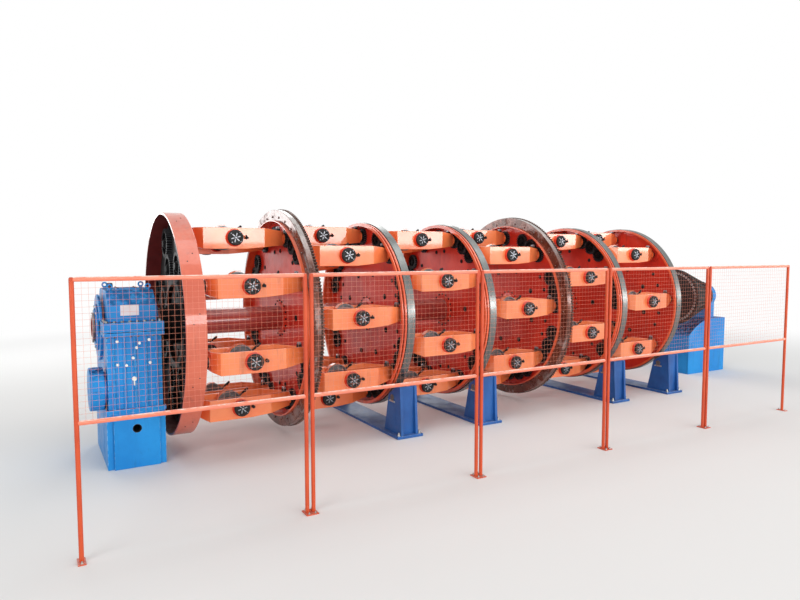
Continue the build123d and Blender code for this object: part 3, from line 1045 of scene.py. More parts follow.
@dataclass
class Cradle:
    """One boat-shaped yoke round a bobbin's place, with its pintles, brake and end flanges.

    Its own frame has X from the face of the disc before it, and Z up from its trunnions.
    """

    left: float = 0.080
    shoulder: float = 0.165
    underside_taper: float = 0.700
    taper: float = 0.940
    right: float = 1.250
    half_width: float = 0.220
    left_half_width: float = 0.090
    right_half_width: float = 0.050
    wall: float = 0.030
    top: float = 0.125
    bottom: float = -0.140
    left_bottom: float = -0.100
    right_top: float = 0.095
    right_bottom: float = -0.090
    pintle_x: float = 0.550
    boss_radius: float = 0.098
    cap_radius: float = 0.098
    boss_depth: float = 0.036
    brake_radius: float = 0.155
    brake_x: float = 0.500
    brake_width: float = 0.062
    trunnion: float = 0.048
    plate_face: float = 1.335

    def height(self, x: float, upper: bool) -> float:
        """How high the yoke's upper or lower edge lies at a distance along it.

        Args:
            x: The distance from the bay's start.
            upper: Whether the upper edge is asked for.

        Returns:
            The height from the trunnions.
        """
        if upper:
            share = max(0.0, (x - self.taper) / (self.right - self.taper))
            return self.top + (self.right_top - self.top) * share
        if x < self.shoulder:
            share = (self.shoulder - x) / (self.shoulder - self.left)
            return self.bottom + (self.left_bottom - self.bottom) * share
        share = max(0.0, (x - self.underside_taper) / (self.right - self.underside_taper))
        return self.bottom + (self.right_bottom - self.bottom) * share

    def yoke(self) -> Shape:
        """The welded yoke with the guard over its brake drum.

        Returns:
            The shape.
        """
        side = [
            (self.left, self.left_half_width),
            (self.shoulder, self.half_width),
            (self.underside_taper, self.half_width),
            (self.taper, self.half_width),
            (self.right, self.right_half_width),
        ]
        outline = side + [(x, -y) for x, y in reversed(side)]
        part = bmesh.new()
        upper = set(doubled(part, outline, shrunk(outline, self.wall)))
        for vert in part.verts:
            vert.co.z = self.height(vert.co.x, vert in upper)
        shape = Shape()
        shape.round_off(part, 0.007, 2)
        shape.take(part, Matrix.Identity(4))
        far_boss = [(0, 0), (0, 0.075), (0.030, 0.070), (0.034, 0.064), (0.034, 0)]
        shape.spun(far_boss, Vector((self.pintle_x, self.half_width, 0)), 20, Along.Y)
        for x, thick in ((self.left, -0.012), (self.right, 0.012)):
            shape.rod((x, 0, 0), (x + thick, 0, 0), self.left_half_width * 0.85, 20)
        guard = self.brake_radius + 0.010
        turns = [math.radians(80 + 20 * step) for step in range(6)]
        inner_y = self.half_width - self.wall
        for here, there in zip(turns, turns[1:]):
            corners = [(math.cos(turn) * guard, math.sin(turn) * guard) for turn in (here, there)]
            outer = [(x * 1.035, z * 1.035) for x, z in reversed(corners)]
            base = Matrix.Translation((self.brake_x, inner_y, 0)) @ Along.MINUS_Y.value
            shape.prism(corners + outer, self.brake_width + 0.01, base)
        return shape

    def boss(self) -> Shape:
        """The pintle boss on the near arm, in a shaded copy of the cradle paint.

        Returns:
            The shape.
        """
        outline = [(0, 0), (0, self.boss_radius + 0.012), (0.014, self.boss_radius + 0.004)]
        outline += [(self.boss_depth - 0.004, self.boss_radius + 0.004), (self.boss_depth, self.boss_radius)]
        outline += [(self.boss_depth, 0)]
        return Shape().spun(outline, Vector((self.pintle_x, -self.half_width, 0)), 28, Along.MINUS_Y)

    def black_parts(self) -> Shape:
        """Pintle cap, lock pin, end flanges, brake lever and wire guide.

        Returns:
            The shape.
        """
        face = -self.half_width - self.boss_depth
        shape = Shape()
        cap = [(0, 0), (0, self.cap_radius), (0.030, self.cap_radius), (0.040, self.cap_radius - 0.012)]
        cap += [(0.040, 0.068), (0.030, 0.064), (0.030, 0)]
        shape.spun(cap, Vector((self.pintle_x, face, 0)), 24, Along.MINUS_Y)
        pin_x = self.pintle_x + 0.150
        pin_y = -self.half_width - 0.045
        shape.rod((pin_x, -self.half_width, 0), (pin_x, pin_y, 0), 0.019, 12)
        shape.rod((pin_x, pin_y, 0), (pin_x - 0.02, pin_y - 0.015, 0.03), 0.008, 8)
        for x, way in ((self.left - 0.012, -1), (self.right + 0.012, 1)):
            shape.rod((x, 0, 0), (x + way * 0.026, 0, 0), 0.070, 20)
        shape.rod((self.right, 0, 0), (self.plate_face, 0, 0), self.trunnion, 16)
        shape.rod((0.001, 0, 0), (self.left, 0, 0), self.trunnion, 16)
        far = self.half_width - self.wall - 0.02
        lever_x = self.brake_x + 0.16
        grip = [(lever_x - 0.05, far, 0.03), (lever_x + 0.01, far, 0.09)]
        shape.bent([*grip, (lever_x + 0.04, far - 0.02, 0.125)], 0.012)
        knob = Vector((lever_x + 0.04, far - 0.02, 0.120))
        shape.rod(knob, knob + Vector((0.045, 0, 0.040)), 0.019, 10, 0.016)
        top = self.height(self.right - 0.06, True)
        shape.block((self.right - 0.085, -0.030, top - 0.02), (self.right - 0.035, 0.030, top + 0.030), 0.004)
        return shape

    def bright_parts(self) -> Shape:
        """Keeper bars and nut on the pintle cap, the wire roller and the flange bolts; the light grey bars,
        nut and bolts on the dark cap are partly painted glints.

        Returns:
            The shape.
        """
        face = -self.half_width - self.boss_depth - 0.030
        shape = Shape()
        bar = Shape().block((-0.006, -0.010, 0.022), (0.006, 0.0, 0.058))
        turns = [Matrix.Rotation(math.radians(angle), 4, "Y") for angle in range(15, 375, 60)]
        shape.copies(bar, [Matrix.Translation((self.pintle_x, face, 0)) @ turn for turn in turns])
        shape.rod((self.pintle_x, face, 0), (self.pintle_x, face - 0.016, 0), 0.013, 6)
        rim = [
            Vector((self.pintle_x + 0.078 * math.cos(turn), face - 0.008, 0.078 * math.sin(turn)))
            for turn in (math.radians(90 * step + 50) for step in range(4))
        ]
        shape.bolts(rim, Along.MINUS_Y, 0.006, 0.006)
        top = self.height(self.right - 0.06, True)
        shape.rod((self.right - 0.06, -0.026, top + 0.04), (self.right - 0.06, 0.026, top + 0.04), 0.020, 12)
        for x, along in ((self.left - 0.038, Along.MINUS_X), (self.right + 0.038, Along.X)):
            ring = [
                Vector((x, 0.058 * math.cos(turn), 0.058 * math.sin(turn)))
                for turn in (math.radians(60 * step) for step in range(6))
            ]
            shape.bolts(ring, along, 0.008, 0.006)
        return shape

    def brake(self) -> Shape:
        """The brake drum and its lining band inside the far arm.

        Returns:
            The shape.
        """
        seat = self.half_width - self.wall
        outer, width = self.brake_radius, self.brake_width
        drum = [(0, 0), (0, outer), (0.006, outer), (0.010, outer - 0.008), (width - 0.010, outer - 0.008)]
        drum += [(width - 0.006, outer), (width, outer), (width, outer - 0.014)]
        drum += [(width - 0.030, outer - 0.020), (width - 0.034, 0.075), (width - 0.004, 0.068)]
        drum += [(width + 0.03, 0.045), (width + 0.045, 0.03), (width + 0.045, 0)]
        shape = Shape().spun(drum, Vector((self.brake_x, seat, 0)), 36, Along.MINUS_Y)
        cone = [(0, 0), (0, 0.062), (0.020, 0.058), (0.050, 0.034), (0.066, 0.028), (0.066, 0)]
        return shape.spun(cone, Vector((self.pintle_x, -seat, 0)), 24, Along.Y)

    def dress(self, layout: Layout) -> None:
        """Put a cradle in every place of every bay.

        Args:
            layout: The machine's layout.
        """
        makers = (
            ("yokes", self.yoke, Finish.CRADLE_ORANGE, Slot.CRADLE),
            ("pintle_bosses", self.boss, Finish.BOSS_RED, Slot.CRADLE),
            ("cradle_black_parts", self.black_parts, Finish.BLACK_IRON, Slot.IRON),
            ("cradle_bright_parts", self.bright_parts, Finish.CAP_STEEL, Slot.STEEL),
            ("brake_drums", self.brake, Finish.BRAKE_GREY, Slot.DARK_STEEL),
        )
        patterns = [(name, maker(), finish, slot) for name, maker, finish, slot in makers]
        for bay in BAYS:
            spots = layout.ring(layout.faces[bay - 1], CRADLE_CIRCLE, bay_angle(bay))
            places = [Matrix.Translation(spot) for spot in spots]
            for name, pattern, finish, slot in patterns:
                stands_for = (f"cradles_bay_{bay}",) if name == "yokes" else ()
                shape = Shape().copies(pattern, places)
                shape.piece(f"{name}_bay_{bay}", finish, slot, CAGE_BODY, stands_for)


@dataclass
class CageDisc:
    """A cage disc: a red plate in an orange rim, with its hub, bearing housings and wire guides."""

    number: int
    plate: float = 0.030
    rim_wall: float = 0.015
    band: float = 0.018
    reach: float = 0.190
    end_reach: float = 0.138
    lip_width: float = 0.016
    groove_end: float = 0.042
    groove_floor: float = 0.032
    gap: float = 0.008
    hub_radius: float = 0.235
    hub_width: float = 0.060
    housing_radius: float = 0.128

    def dress(self, layout: Layout) -> None:
        """Build the disc.

        Args:
            layout: The machine's layout.
        """
        self.layout = layout
        self.face = layout.faces[self.number]
        low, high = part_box(f"cage_disc_{self.number}")
        toothed = self.number in TOOTHED_DISCS
        self.outer = (high.z - low.z) / 2
        self.seat = self.outer if toothed else self.outer - self.band
        if toothed:
            self.reach = self.face - low.x
        self.rim(toothed)
        self.web()
        self.eyelets()

    def rim(self, toothed: bool) -> None:
        """The orange rim that reaches back round the cradle ends; on a tyre disc, near-black painted shade
        lines the gap before the tyre and, where there is one, the groove.

        Args:
            toothed: Whether the disc carries a ring gear.
        """
        last = self.number == BAYS[-1]
        start = -self.end_reach if last else -self.reach
        inside = self.seat - self.rim_wall
        outline = [(start, inside), (start, self.outer - 0.003), (start + 0.003, self.outer)]
        if not toothed:
            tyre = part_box(f"tyre_{self.number}")[0].x - self.face
            band = tyre - self.gap
            strips = [(band, tyre + 0.002, self.seat + 0.001)]
            if not last:
                floor = self.outer - self.groove_floor
                lip, groove = start + self.lip_width, start + self.groove_end
                outline = [(start, floor - 0.010), *outline[1:], (lip, self.outer), (lip, floor)]
                outline += [(groove, floor), (groove, self.outer)]
                strips.append((lip, groove, floor + 0.001))
            outline += [(band, self.outer), (band, self.seat)]
            # Near-black strips in the groove and in the gap before the tyre are painted shade.
            groove_shade = Shape()
            for near, far, radius in strips:
                strip = [(near, radius - 0.004), (near, radius), (far, radius), (far, radius - 0.004)]
                groove_shade.spun(strip, self.layout.at(self.face), 96)
            groove_shade.piece(f"rim_groove_shade_{self.number}", Finish.DARK_MAROON, Slot.DISC, CAGE_BODY)
        outline += [(0.0, self.seat), (0.0, inside)]
        if not toothed and not last:
            outline += [(groove, inside), (groove - 0.006, floor - 0.010)]
        shape = Shape().spun(outline, self.layout.at(self.face), 144)
        shape.piece(f"disc_rim_{self.number}", Finish.RIM_ORANGE, Slot.DISC, CAGE_BODY)

    def web(self) -> None:
        """The red plate with its hub and bearing housings."""
        inside = self.seat - self.rim_wall
        bore = self.layout.tube_radius
        weld = 0.012
        outline = [(-self.plate, bore), (-self.plate, inside), (0.0, inside), (0.0, self.hub_radius + weld)]
        outline += [(weld, self.hub_radius), (self.hub_width - 0.005, self.hub_radius)]
        outline += [(self.hub_width, self.hub_radius - 0.005), (self.hub_width, bore)]
        shape = Shape().spun(outline, self.layout.at(self.face), 96)
        back = self.face - self.plate
        collar = [(0.0, bore), (0.0, bore + 0.055), (-0.008, bore + 0.055), (-0.016, bore + 0.012)]
        shape.spun([*collar, (-0.016, bore)], self.layout.at(back), 64)
        housing = [(0, 0), (0, self.housing_radius), (-0.007, self.housing_radius)]
        housing += [(-0.010, 0.12), (-0.010, 0)]
        seat = [(0, 0), (0, 0.105), (0.022, 0.098), (0.026, 0.092), (0.026, 0)]
        sides = [(back, housing, self.number)]
        if self.number < len(BAYS):
            sides += [(self.face, seat, self.number + 1), (back, housing, self.number + 1)]
        for x, profile, bay in sides:
            for spot in self.layout.ring(x, CRADLE_CIRCLE, bay_angle(bay)):
                shape.spun(profile, spot, 28)
        name = f"cage_disc_{self.number}"
        shape.piece(f"disc_plate_{self.number}", Finish.DISC_RED, Slot.DISC, CAGE_BODY, (name,))

    def eyelets(self) -> None:
        """Black wire guides, plugs and hub bolts on the plate."""
        shape = Shape()
        back = self.face - self.plate
        first = bay_angle(self.number) + 22.5
        for radius, turn, size in ((0.93, first - 7, 0.024), (0.93, first + 7, 0.024), (0.62, first, 0.034)):
            bush = [(-0.010, size * 0.5), (-0.010, size), (-0.006, size + 0.006), (0.0, size + 0.006)]
            bush += [(0.0, size * 0.5)]
            for spot in self.layout.ring(back, radius, turn):
                shape.spun(bush, spot, 16)
                shape.rod(spot - Vector((0.001, 0, 0)), spot - Vector((0.003, 0, 0)), size * 0.5, 12)
        shape.bolts(self.layout.ring(self.face + self.hub_width, 0.205, 0, 16), Along.X, 0.014, 0.010)
        shape.bolts(self.layout.ring(back, 0.245, 0, 16), Along.MINUS_X, 0.014, 0.012)
        shape.piece(f"wire_guides_{self.number}", Finish.BLACK_IRON, Slot.IRON, CAGE_BODY)


@dataclass
class Tyre:
    """A steel tyre on a cage disc."""

    number: int
    edge: float = 0.004

    def dress(self, layout: Layout) -> None:
        """Build the tyre.

        Args:
            layout: The machine's layout.
        """
        low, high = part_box(f"tyre_{self.number}")
        outer = (high.z - low.z) / 2
        inner = outer - 0.030
        start = low.x - high.x
        outline = [(start, inner), (start, outer - self.edge), (start + self.edge, outer)]
        outline += [(-self.edge, outer), (0.0, outer - self.edge), (0.0, inner)]
        shape = Shape().spun(outline, layout.at(high.x), 180)
        name = f"tyre_{self.number}"
        shape.piece(f"running_{name}", Finish.TYRE_STEEL, Slot.STEEL, CAGE_BODY, (name,))


@dataclass
class RingGear:
    """A ring bolted round a cage disc, with a smooth shoulder before its teeth."""

    number: int
    teeth: int = 216
    tooth: float = 0.028
    depth: float = 0.150
    shoulder: float = 0.078
    shoulder_drop: float = 0.010

    def dress(self, layout: Layout) -> None:
        """Build the ring gear and its bolts.

        Args:
            layout: The machine's layout.
        """
        low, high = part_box(f"ring_gear_{self.number}")
        outer = (high.z - low.z) / 2
        inner = outer - self.depth
        root = outer - self.tooth
        width = high.x - low.x
        profile = [(0, inner), (0, outer - self.shoulder_drop - 0.005), (0.005, outer - self.shoulder_drop)]
        profile += [(self.shoulder, outer - self.shoulder_drop), (self.shoulder, root - 0.002)]
        profile += [(width, root - 0.002), (width, inner)]
        shape = Shape().spun(profile, layout.at(low.x), 144)
        for x, along in ((low.x, Along.MINUS_X), (high.x, Along.X)):
            shape.bolts(layout.ring(x, inner + 0.045, 0, 36), along, 0.016, 0.012)
        name = f"ring_gear_{self.number}"
        shape.piece(f"ring_body_{self.number}", Finish.RING_PRIMER, Slot.STEEL, CAGE_BODY, (name,))
        start, bore = layout.at(low.x + self.shoulder), root - 0.012
        teeth = Shape().toothed(start, outer, bore, self.teeth, self.tooth, width - self.shoulder)
        teeth.piece(f"ring_teeth_{self.number}", Finish.TOOTH_STEEL, Slot.STEEL, CAGE_BODY)


@dataclass(frozen=True)
class Teeth:
    """The teeth of a gear wheel, worked out from its pitch circle."""

    pitch_radius: float
    count: int

    @property
    def module(self) -> float:
        """The pitch diameter shared among the teeth."""
        return 2 * self.pitch_radius / self.count

    @property
    def tip(self) -> float:
        """The radius at the tooth tips."""
        return self.pitch_radius + self.module * 0.95

    @property
    def depth(self) -> float:
        """The full depth of a tooth."""
        return self.module * 2.1

    def meshed(self, phase: float, line: float, other: Teeth) -> float:
        """Turn another wheel so that its gap meets a tooth of this one.

        Args:
            phase: This wheel's phase in degrees.
            line: The way from this wheel's centre to the other's, in degrees.
            other: The other wheel's teeth.

        Returns:
            The other wheel's phase in degrees.
        """
        ahead = phase - line
        gap = line + 180 - ahead * self.count / other.count
        return gap - 180 / other.count

    def rim(self, centre: Vector, bore: float, width: float, phase: float) -> Shape:
        """The toothed rim of a wheel.

        Args:
            centre: The middle of its drive-side face.
            bore: The radius of its hole.
            width: Its thickness.
            phase: Its first tooth's angle in degrees.

        Returns:
            The shape.
        """
        return Shape().toothed(centre, self.tip, bore, self.count, self.depth, width, phase)


@dataclass
class LinkGears:
    """The black gear triples on the drive side of a disc."""

    number: int
    teeth: int = 22
    spokes: int = 6

    def wheel(self, teeth: Teeth, centre: Vector, width: float, phase: float) -> Shape:
        """One webbed gear wheel with its hub and bolts.

        Args:
            teeth: The wheel's teeth.
            centre: The middle of its drive-side face.
            width: Its thickness.
            phase: Its first tooth's angle in degrees.

        Returns:
            The shape.
        """
        radius = teeth.pitch_radius
        shape = teeth.rim(centre, radius * 0.70, width, phase)
        web = [(width * 0.4, 0), (width * 0.4, radius * 0.71), (width, radius * 0.71), (width, 0)]
        shape.spun(web, centre, 20)
        hub = [(-0.006, 0), (-0.006, radius * 0.26), (0.0, radius * 0.34), (width * 0.5, radius * 0.36)]
        shape.spun([*hub, (width * 0.5, 0)], centre, 18)
        for step in range(self.spokes):
            turn = math.tau / self.spokes * step
            way = Vector((0, math.cos(turn), math.sin(turn)))
            start = centre + Vector((width * 0.22, 0, 0)) + way * radius * 0.34
            shape.rod(start, start + way * radius * 0.38, radius * 0.075, 6)
            bolt = centre + way.cross((1, 0, 0)) * radius * 0.17
            shape.bolts([bolt - Vector((0.006, 0, 0))], Along.MINUS_X, radius * 0.06, 0.007)
        return shape

    def dress(self, layout: Layout) -> None:
        """Build the disc's gears.

        Args:
            layout: The machine's layout.
        """
        low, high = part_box(f"link_gears_{self.number}")
        lean = (ODD_BAY_ANGLE - EVEN_BAY_ANGLE) / 2
        teeth = Teeth(CRADLE_CIRCLE * math.sin(math.radians(lean / 2)), self.teeth)
        width = high.x - low.x
        triple, phase, angle = Shape(), 0.0, EVEN_BAY_ANGLE
        for _ in range(3):
            wheel = self.wheel(teeth, layout.spot(low.x, CRADLE_CIRCLE, angle), width, phase)
            triple.copies(wheel, [Matrix.Identity(4)])
            phase = teeth.meshed(phase, 90 - angle - lean / 2, teeth)
            angle += lean
        shape = Shape().copies(triple, layout.eighths())
        name = f"link_gears_{self.number}"
        shape.piece(f"link_gear_wheels_{self.number}", Finish.GEAR_BLACK, Slot.GEARS, CAGE_BODY, (name,))


@dataclass
class Drum:
    """The drum at the drive end, open to the left, with the back-twist gears inside."""

    wall: float = 0.025
    planet_pitch: float = 0.190
    planet_teeth: int = 36
    sun_teeth: int = 112
    sun_rim: float = 0.080
    stud_count: int = 24

    def dress(self, layout: Layout) -> None:
        """Build the drum and its gears.

        Args:
            layout: The machine's layout.
        """
        self.layout = layout
        self.start, self.end = layout.drum_ends
        self.shell()
        self.plate()
        self.gears()

    def shell(self) -> None:
        """The rolled shell: orange outside, maroon inside."""
        outer = self.layout.drum_radius
        inner = outer - self.wall
        length = self.end - self.start
        outline = [(0, inner + 0.004), (0, outer - 0.003), (0.003, outer), (length - 0.003, outer)]
        outline += [(length, outer - 0.003), (length, inner + 0.004)]
        shape = Shape().spun(outline, self.layout.at(self.start), 160)
        shape.piece("drum_rim", Finish.DRUM_ORANGE, Slot.DRUM, CAGE_BODY, ("drum_shell",))
        lining = [(0, inner), (0, inner + 0.004), (length - 0.026, inner + 0.004), (length - 0.026, inner)]
        shape = Shape().spun(lining, self.layout.at(self.start), 160)
        shape.piece("drum_lining", Finish.MAROON, Slot.DRUM, CAGE_BODY)
        holes = Shape()
        for first, x in ((5.0, self.start + 0.085), (9.5, self.start + 0.155)):
            for spot in self.layout.ring(x, outer + 0.0005, first, 12):
                way = (spot - self.layout.at(x)).normalized()
                holes.rod(spot - way * 0.002, spot + way * 0.003, 0.007, 10)
        holes.piece("drum_screws", Finish.BLACK_IRON, Slot.IRON, CAGE_BODY)

    def plate(self) -> None:
        """The plate between the drum and the first bay, with its bearing housings and a black sheet of
        painted shade over its face inside the drum.
        """
        low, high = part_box("drum_back_plate")
        outer = (high.z - low.z) / 2
        bore = self.layout.tube_radius
        thick = high.x - low.x
        outline = [(0, bore), (0, outer), (thick, outer), (thick, 0.30), (thick + 0.010, 0.285)]
        outline += [(thick + 0.055, 0.27), (thick + 0.060, 0.26), (thick + 0.060, bore)]
        shape = Shape().spun(outline, self.layout.at(low.x), 128)
        ring = [(0, 0), (0, 0.120), (0.028, 0.112), (0.032, 0.104), (0.032, 0)]
        for spot in self.layout.ring(high.x, CRADLE_CIRCLE, bay_angle(1)):
            shape.spun(ring, spot, 28)
        shape.piece("drum_cage_plate", Finish.DISC_RED, Slot.DRUM, CAGE_BODY, ("drum_back_plate",))
        # A black sheet over the plate's face inside the drum: painted shade.
        floor = [(-0.003, bore), (-0.003, outer), (0.001, outer), (0.001, bore)]
        lining = Shape().spun(floor, self.layout.at(low.x), 128)
        lining.piece("drum_floor_shade_sheet", Finish.BLACK_IRON, Slot.DRUM, CAGE_BODY)
        studs = Shape()
        for x, along in ((high.x, Along.X), (low.x, Along.MINUS_X)):
            studs.bolts(self.layout.ring(x, outer - 0.05, 3, self.stud_count), along, 0.014, 0.012)
        studs.bolts(self.layout.ring(high.x + 0.060, 0.225, 0, 16), Along.X, 0.014, 0.012)
        studs.piece("drum_plate_bolts", Finish.BLACK_IRON, Slot.IRON, CAGE_BODY)

    def wheel(self, teeth: Teeth, centre: Vector, width: float, phase: float) -> Shape:
        """A planet or idler wheel with its dished web and hub.

        Args:
            teeth: The wheel's teeth.
            centre: The middle of its drive-side face.
            width: Its thickness.
            phase: Its first tooth's angle in degrees.

        Returns:
            The shape.
        """
        radius = teeth.pitch_radius
        shape = teeth.rim(centre, radius * 0.76, width, phase)
        web = [(width * 0.45, 0), (width * 0.45, radius * 0.77), (width, radius * 0.77), (width, 0)]
        shape.spun(web, centre, 28)
        hub = [(-0.020, 0), (-0.020, radius * 0.20), (-0.012, radius * 0.26), (0.004, radius * 0.28)]
        hub += [(0.004, radius * 0.36), (width * 0.46, radius * 0.40), (width * 0.46, 0)]
        shape.spun(hub, centre, 24)
        for step in range(8):
            turn = math.radians(45 * step + 22.5)
            way = Vector((0, math.cos(turn), math.sin(turn)))
            spot = centre + way * radius * 0.57 + Vector((width * 0.45, 0, 0))
            shape.bolts([spot], Along.MINUS_X, radius * 0.055, 0.012)
            spot = centre + way * radius * 0.32 + Vector((0.004, 0, 0))
            shape.bolts([spot], Along.MINUS_X, radius * 0.035, 0.010)
        return shape

    def gears(self) -> None:
        """The planets, the idlers and the sun wheel."""
        low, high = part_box("drum_gears")
        width = high.x - low.x
        planet = Teeth(self.planet_pitch, self.planet_teeth)
        idler_circle = CRADLE_CIRCLE - 2 * self.planet_pitch
        sun = Teeth(idler_circle - self.planet_pitch, self.sun_teeth)
        inward = 360 - bay_angle(1)
        idler_phase = planet.meshed(0.0, inward, planet)
        pair = Shape()
        for radius, phase in ((CRADLE_CIRCLE, 0.0), (idler_circle, idler_phase)):
            wheel = self.wheel(planet, self.layout.spot(low.x, radius, bay_angle(1)), width, phase)
            pair.copies(wheel, [Matrix.Identity(4)])
        shape = Shape().copies(pair, self.layout.eighths())
        shape.piece("drum_gear_wheels", Finish.GEAR_BLACK, Slot.GEARS, CAGE_BODY, ("drum_gears",))
        centre = self.layout.at(low.x)
        rim = sun.pitch_radius - self.sun_rim
        shape = sun.rim(centre, rim, width, planet.meshed(idler_phase, inward, sun))
        sun_low, sun_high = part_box("sun_gear")
        hub = sun_high.x - sun_low.x
        bore = self.layout.tube_radius
        profile = [(width, rim + 0.001), (width - 0.020, rim + 0.001), (width - 0.020, 0.275)]
        profile += [(width - 0.034, 0.262), (width - hub + 0.012, 0.255), (width - hub, 0.243)]
        profile += [(width - hub, bore), (width, bore)]
        shape.spun(profile, centre, 96)
        for spot in self.layout.ring(high.x - 0.020, 0.38, 0, 12):
            shape.rod(spot, spot - Vector((0.012, 0, 0)), 0.05, 16)
        shape.bolts(self.layout.ring(high.x - hub, 0.215, 0, 12), Along.MINUS_X, 0.014, 0.012)
        shape.piece("sun_wheel", Finish.GEAR_BLACK, Slot.GEARS, CAGE_BODY, ("sun_gear",))


@dataclass
class MainTube:
    """The hollow tube that carries the cage."""

    bore: float = 0.120
    end_ring: float = 0.014
    collar_reach: tuple[float, float] = (0.395, 0.489)
    collar_radius: float = 0.205

    def dress(self, layout: Layout) -> None:
        """Build the tube with its end rings and the black collar before the sun gear.

        Args:
            layout: The machine's layout.
        """
        start, end = layout.tube_ends
        radius = layout.tube_radius
        length = end - start
        outline = [(0, self.bore + 0.004), (0, radius - 0.004), (0.004, radius), (length - 0.004, radius)]
        outline += [(length, radius - 0.004), (length, self.bore + 0.004), (length - 0.004, self.bore)]
        outline += [(0.004, self.bore)]
        shape = Shape().spun(outline, layout.at(start), 72)
        shape.piece("cage_tube", Finish.TUBE_RED, Slot.DISC, CAGE_BODY, ("main_tube",))
        bands = Shape()
        ring = [(0, radius - 0.004), (0, radius + 0.018), (self.end_ring, radius + 0.018)]
        ring += [(self.end_ring, radius - 0.004)]
        for x in (start + 0.004, end - 0.004 - self.end_ring):
            bands.spun(ring, layout.at(x), 48)
        bands.piece("tube_end_rings", Finish.ROLLER_STEEL, Slot.STEEL, CAGE_BODY)
        first, last = self.collar_reach
        wide = self.collar_radius
        outline = [(first, radius - 0.004), (first, wide - 0.005), (first + 0.005, wide)]
        outline += [(last, wide), (last, radius - 0.004)]
        collar = Shape().spun(outline, layout.at(0), 56)
        collar.piece("sun_gear_collar", Finish.GEAR_BLACK, Slot.DRUM, CAGE_BODY)


@dataclass
class LayHead:
    """The black ribbed cone that gathers the wires after the last disc."""

    rib_count: int = 24
    rib_width: float = 0.016
    narrowing: float = 0.260

    def dress(self, layout: Layout) -> None:
        """Build the cone with its ribs, bolts and wire eyes.

        Args:
            layout: The machine's layout.
        """
        low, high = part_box("lay_head")
        length = high.x - low.x
        large = (high.z - low.z) / 2
        small = large - self.narrowing
        bore = layout.tube_radius
        outline = [(0, bore), (0, large - 0.004), (0.004, large), (0.045, large), (0.050, large - 0.035)]
        outline += [(length - 0.050, small - 0.030), (length - 0.045, small), (length - 0.004, small)]
        outline += [(length, small - 0.004), (length, bore)]
        shape = Shape().spun(outline, layout.at(low.x), 72)
        side = [(0.045, large - 0.045), (0.045, large), (length - 0.045, small)]
        rib = Shape().prism([*side, (length - 0.045, small - 0.045)], self.rib_width, Along.MINUS_Y.value)
        start, centred = (Matrix.Translation(step) for step in (layout.at(low.x), (0, self.rib_width / 2, 0)))
        turns = [Matrix.Rotation(math.tau / self.rib_count * step, 4, "X") for step in range(self.rib_count)]
        shape.copies(rib, [start @ turn @ centred for turn in turns])
        shape.bolts(layout.ring(low.x, 0.30, 0, 24), Along.MINUS_X, 0.018, 0.014)
        shape.piece("lay_head_cone", Finish.BLACK_IRON, Slot.IRON, CAGE_BODY, ("lay_head",))
        eyes = Shape()
        ring = [(-0.014, 0.012), (-0.014, 0.020), (0, 0.024), (0, 0.012)]
        for spot in layout.ring(low.x, large - 0.075, 3.75, 48):
            eyes.spun(ring, spot, 12)
        eyes.piece("lay_head_eyes", Finish.BRIGHT_STEEL, Slot.STEEL, CAGE_BODY)


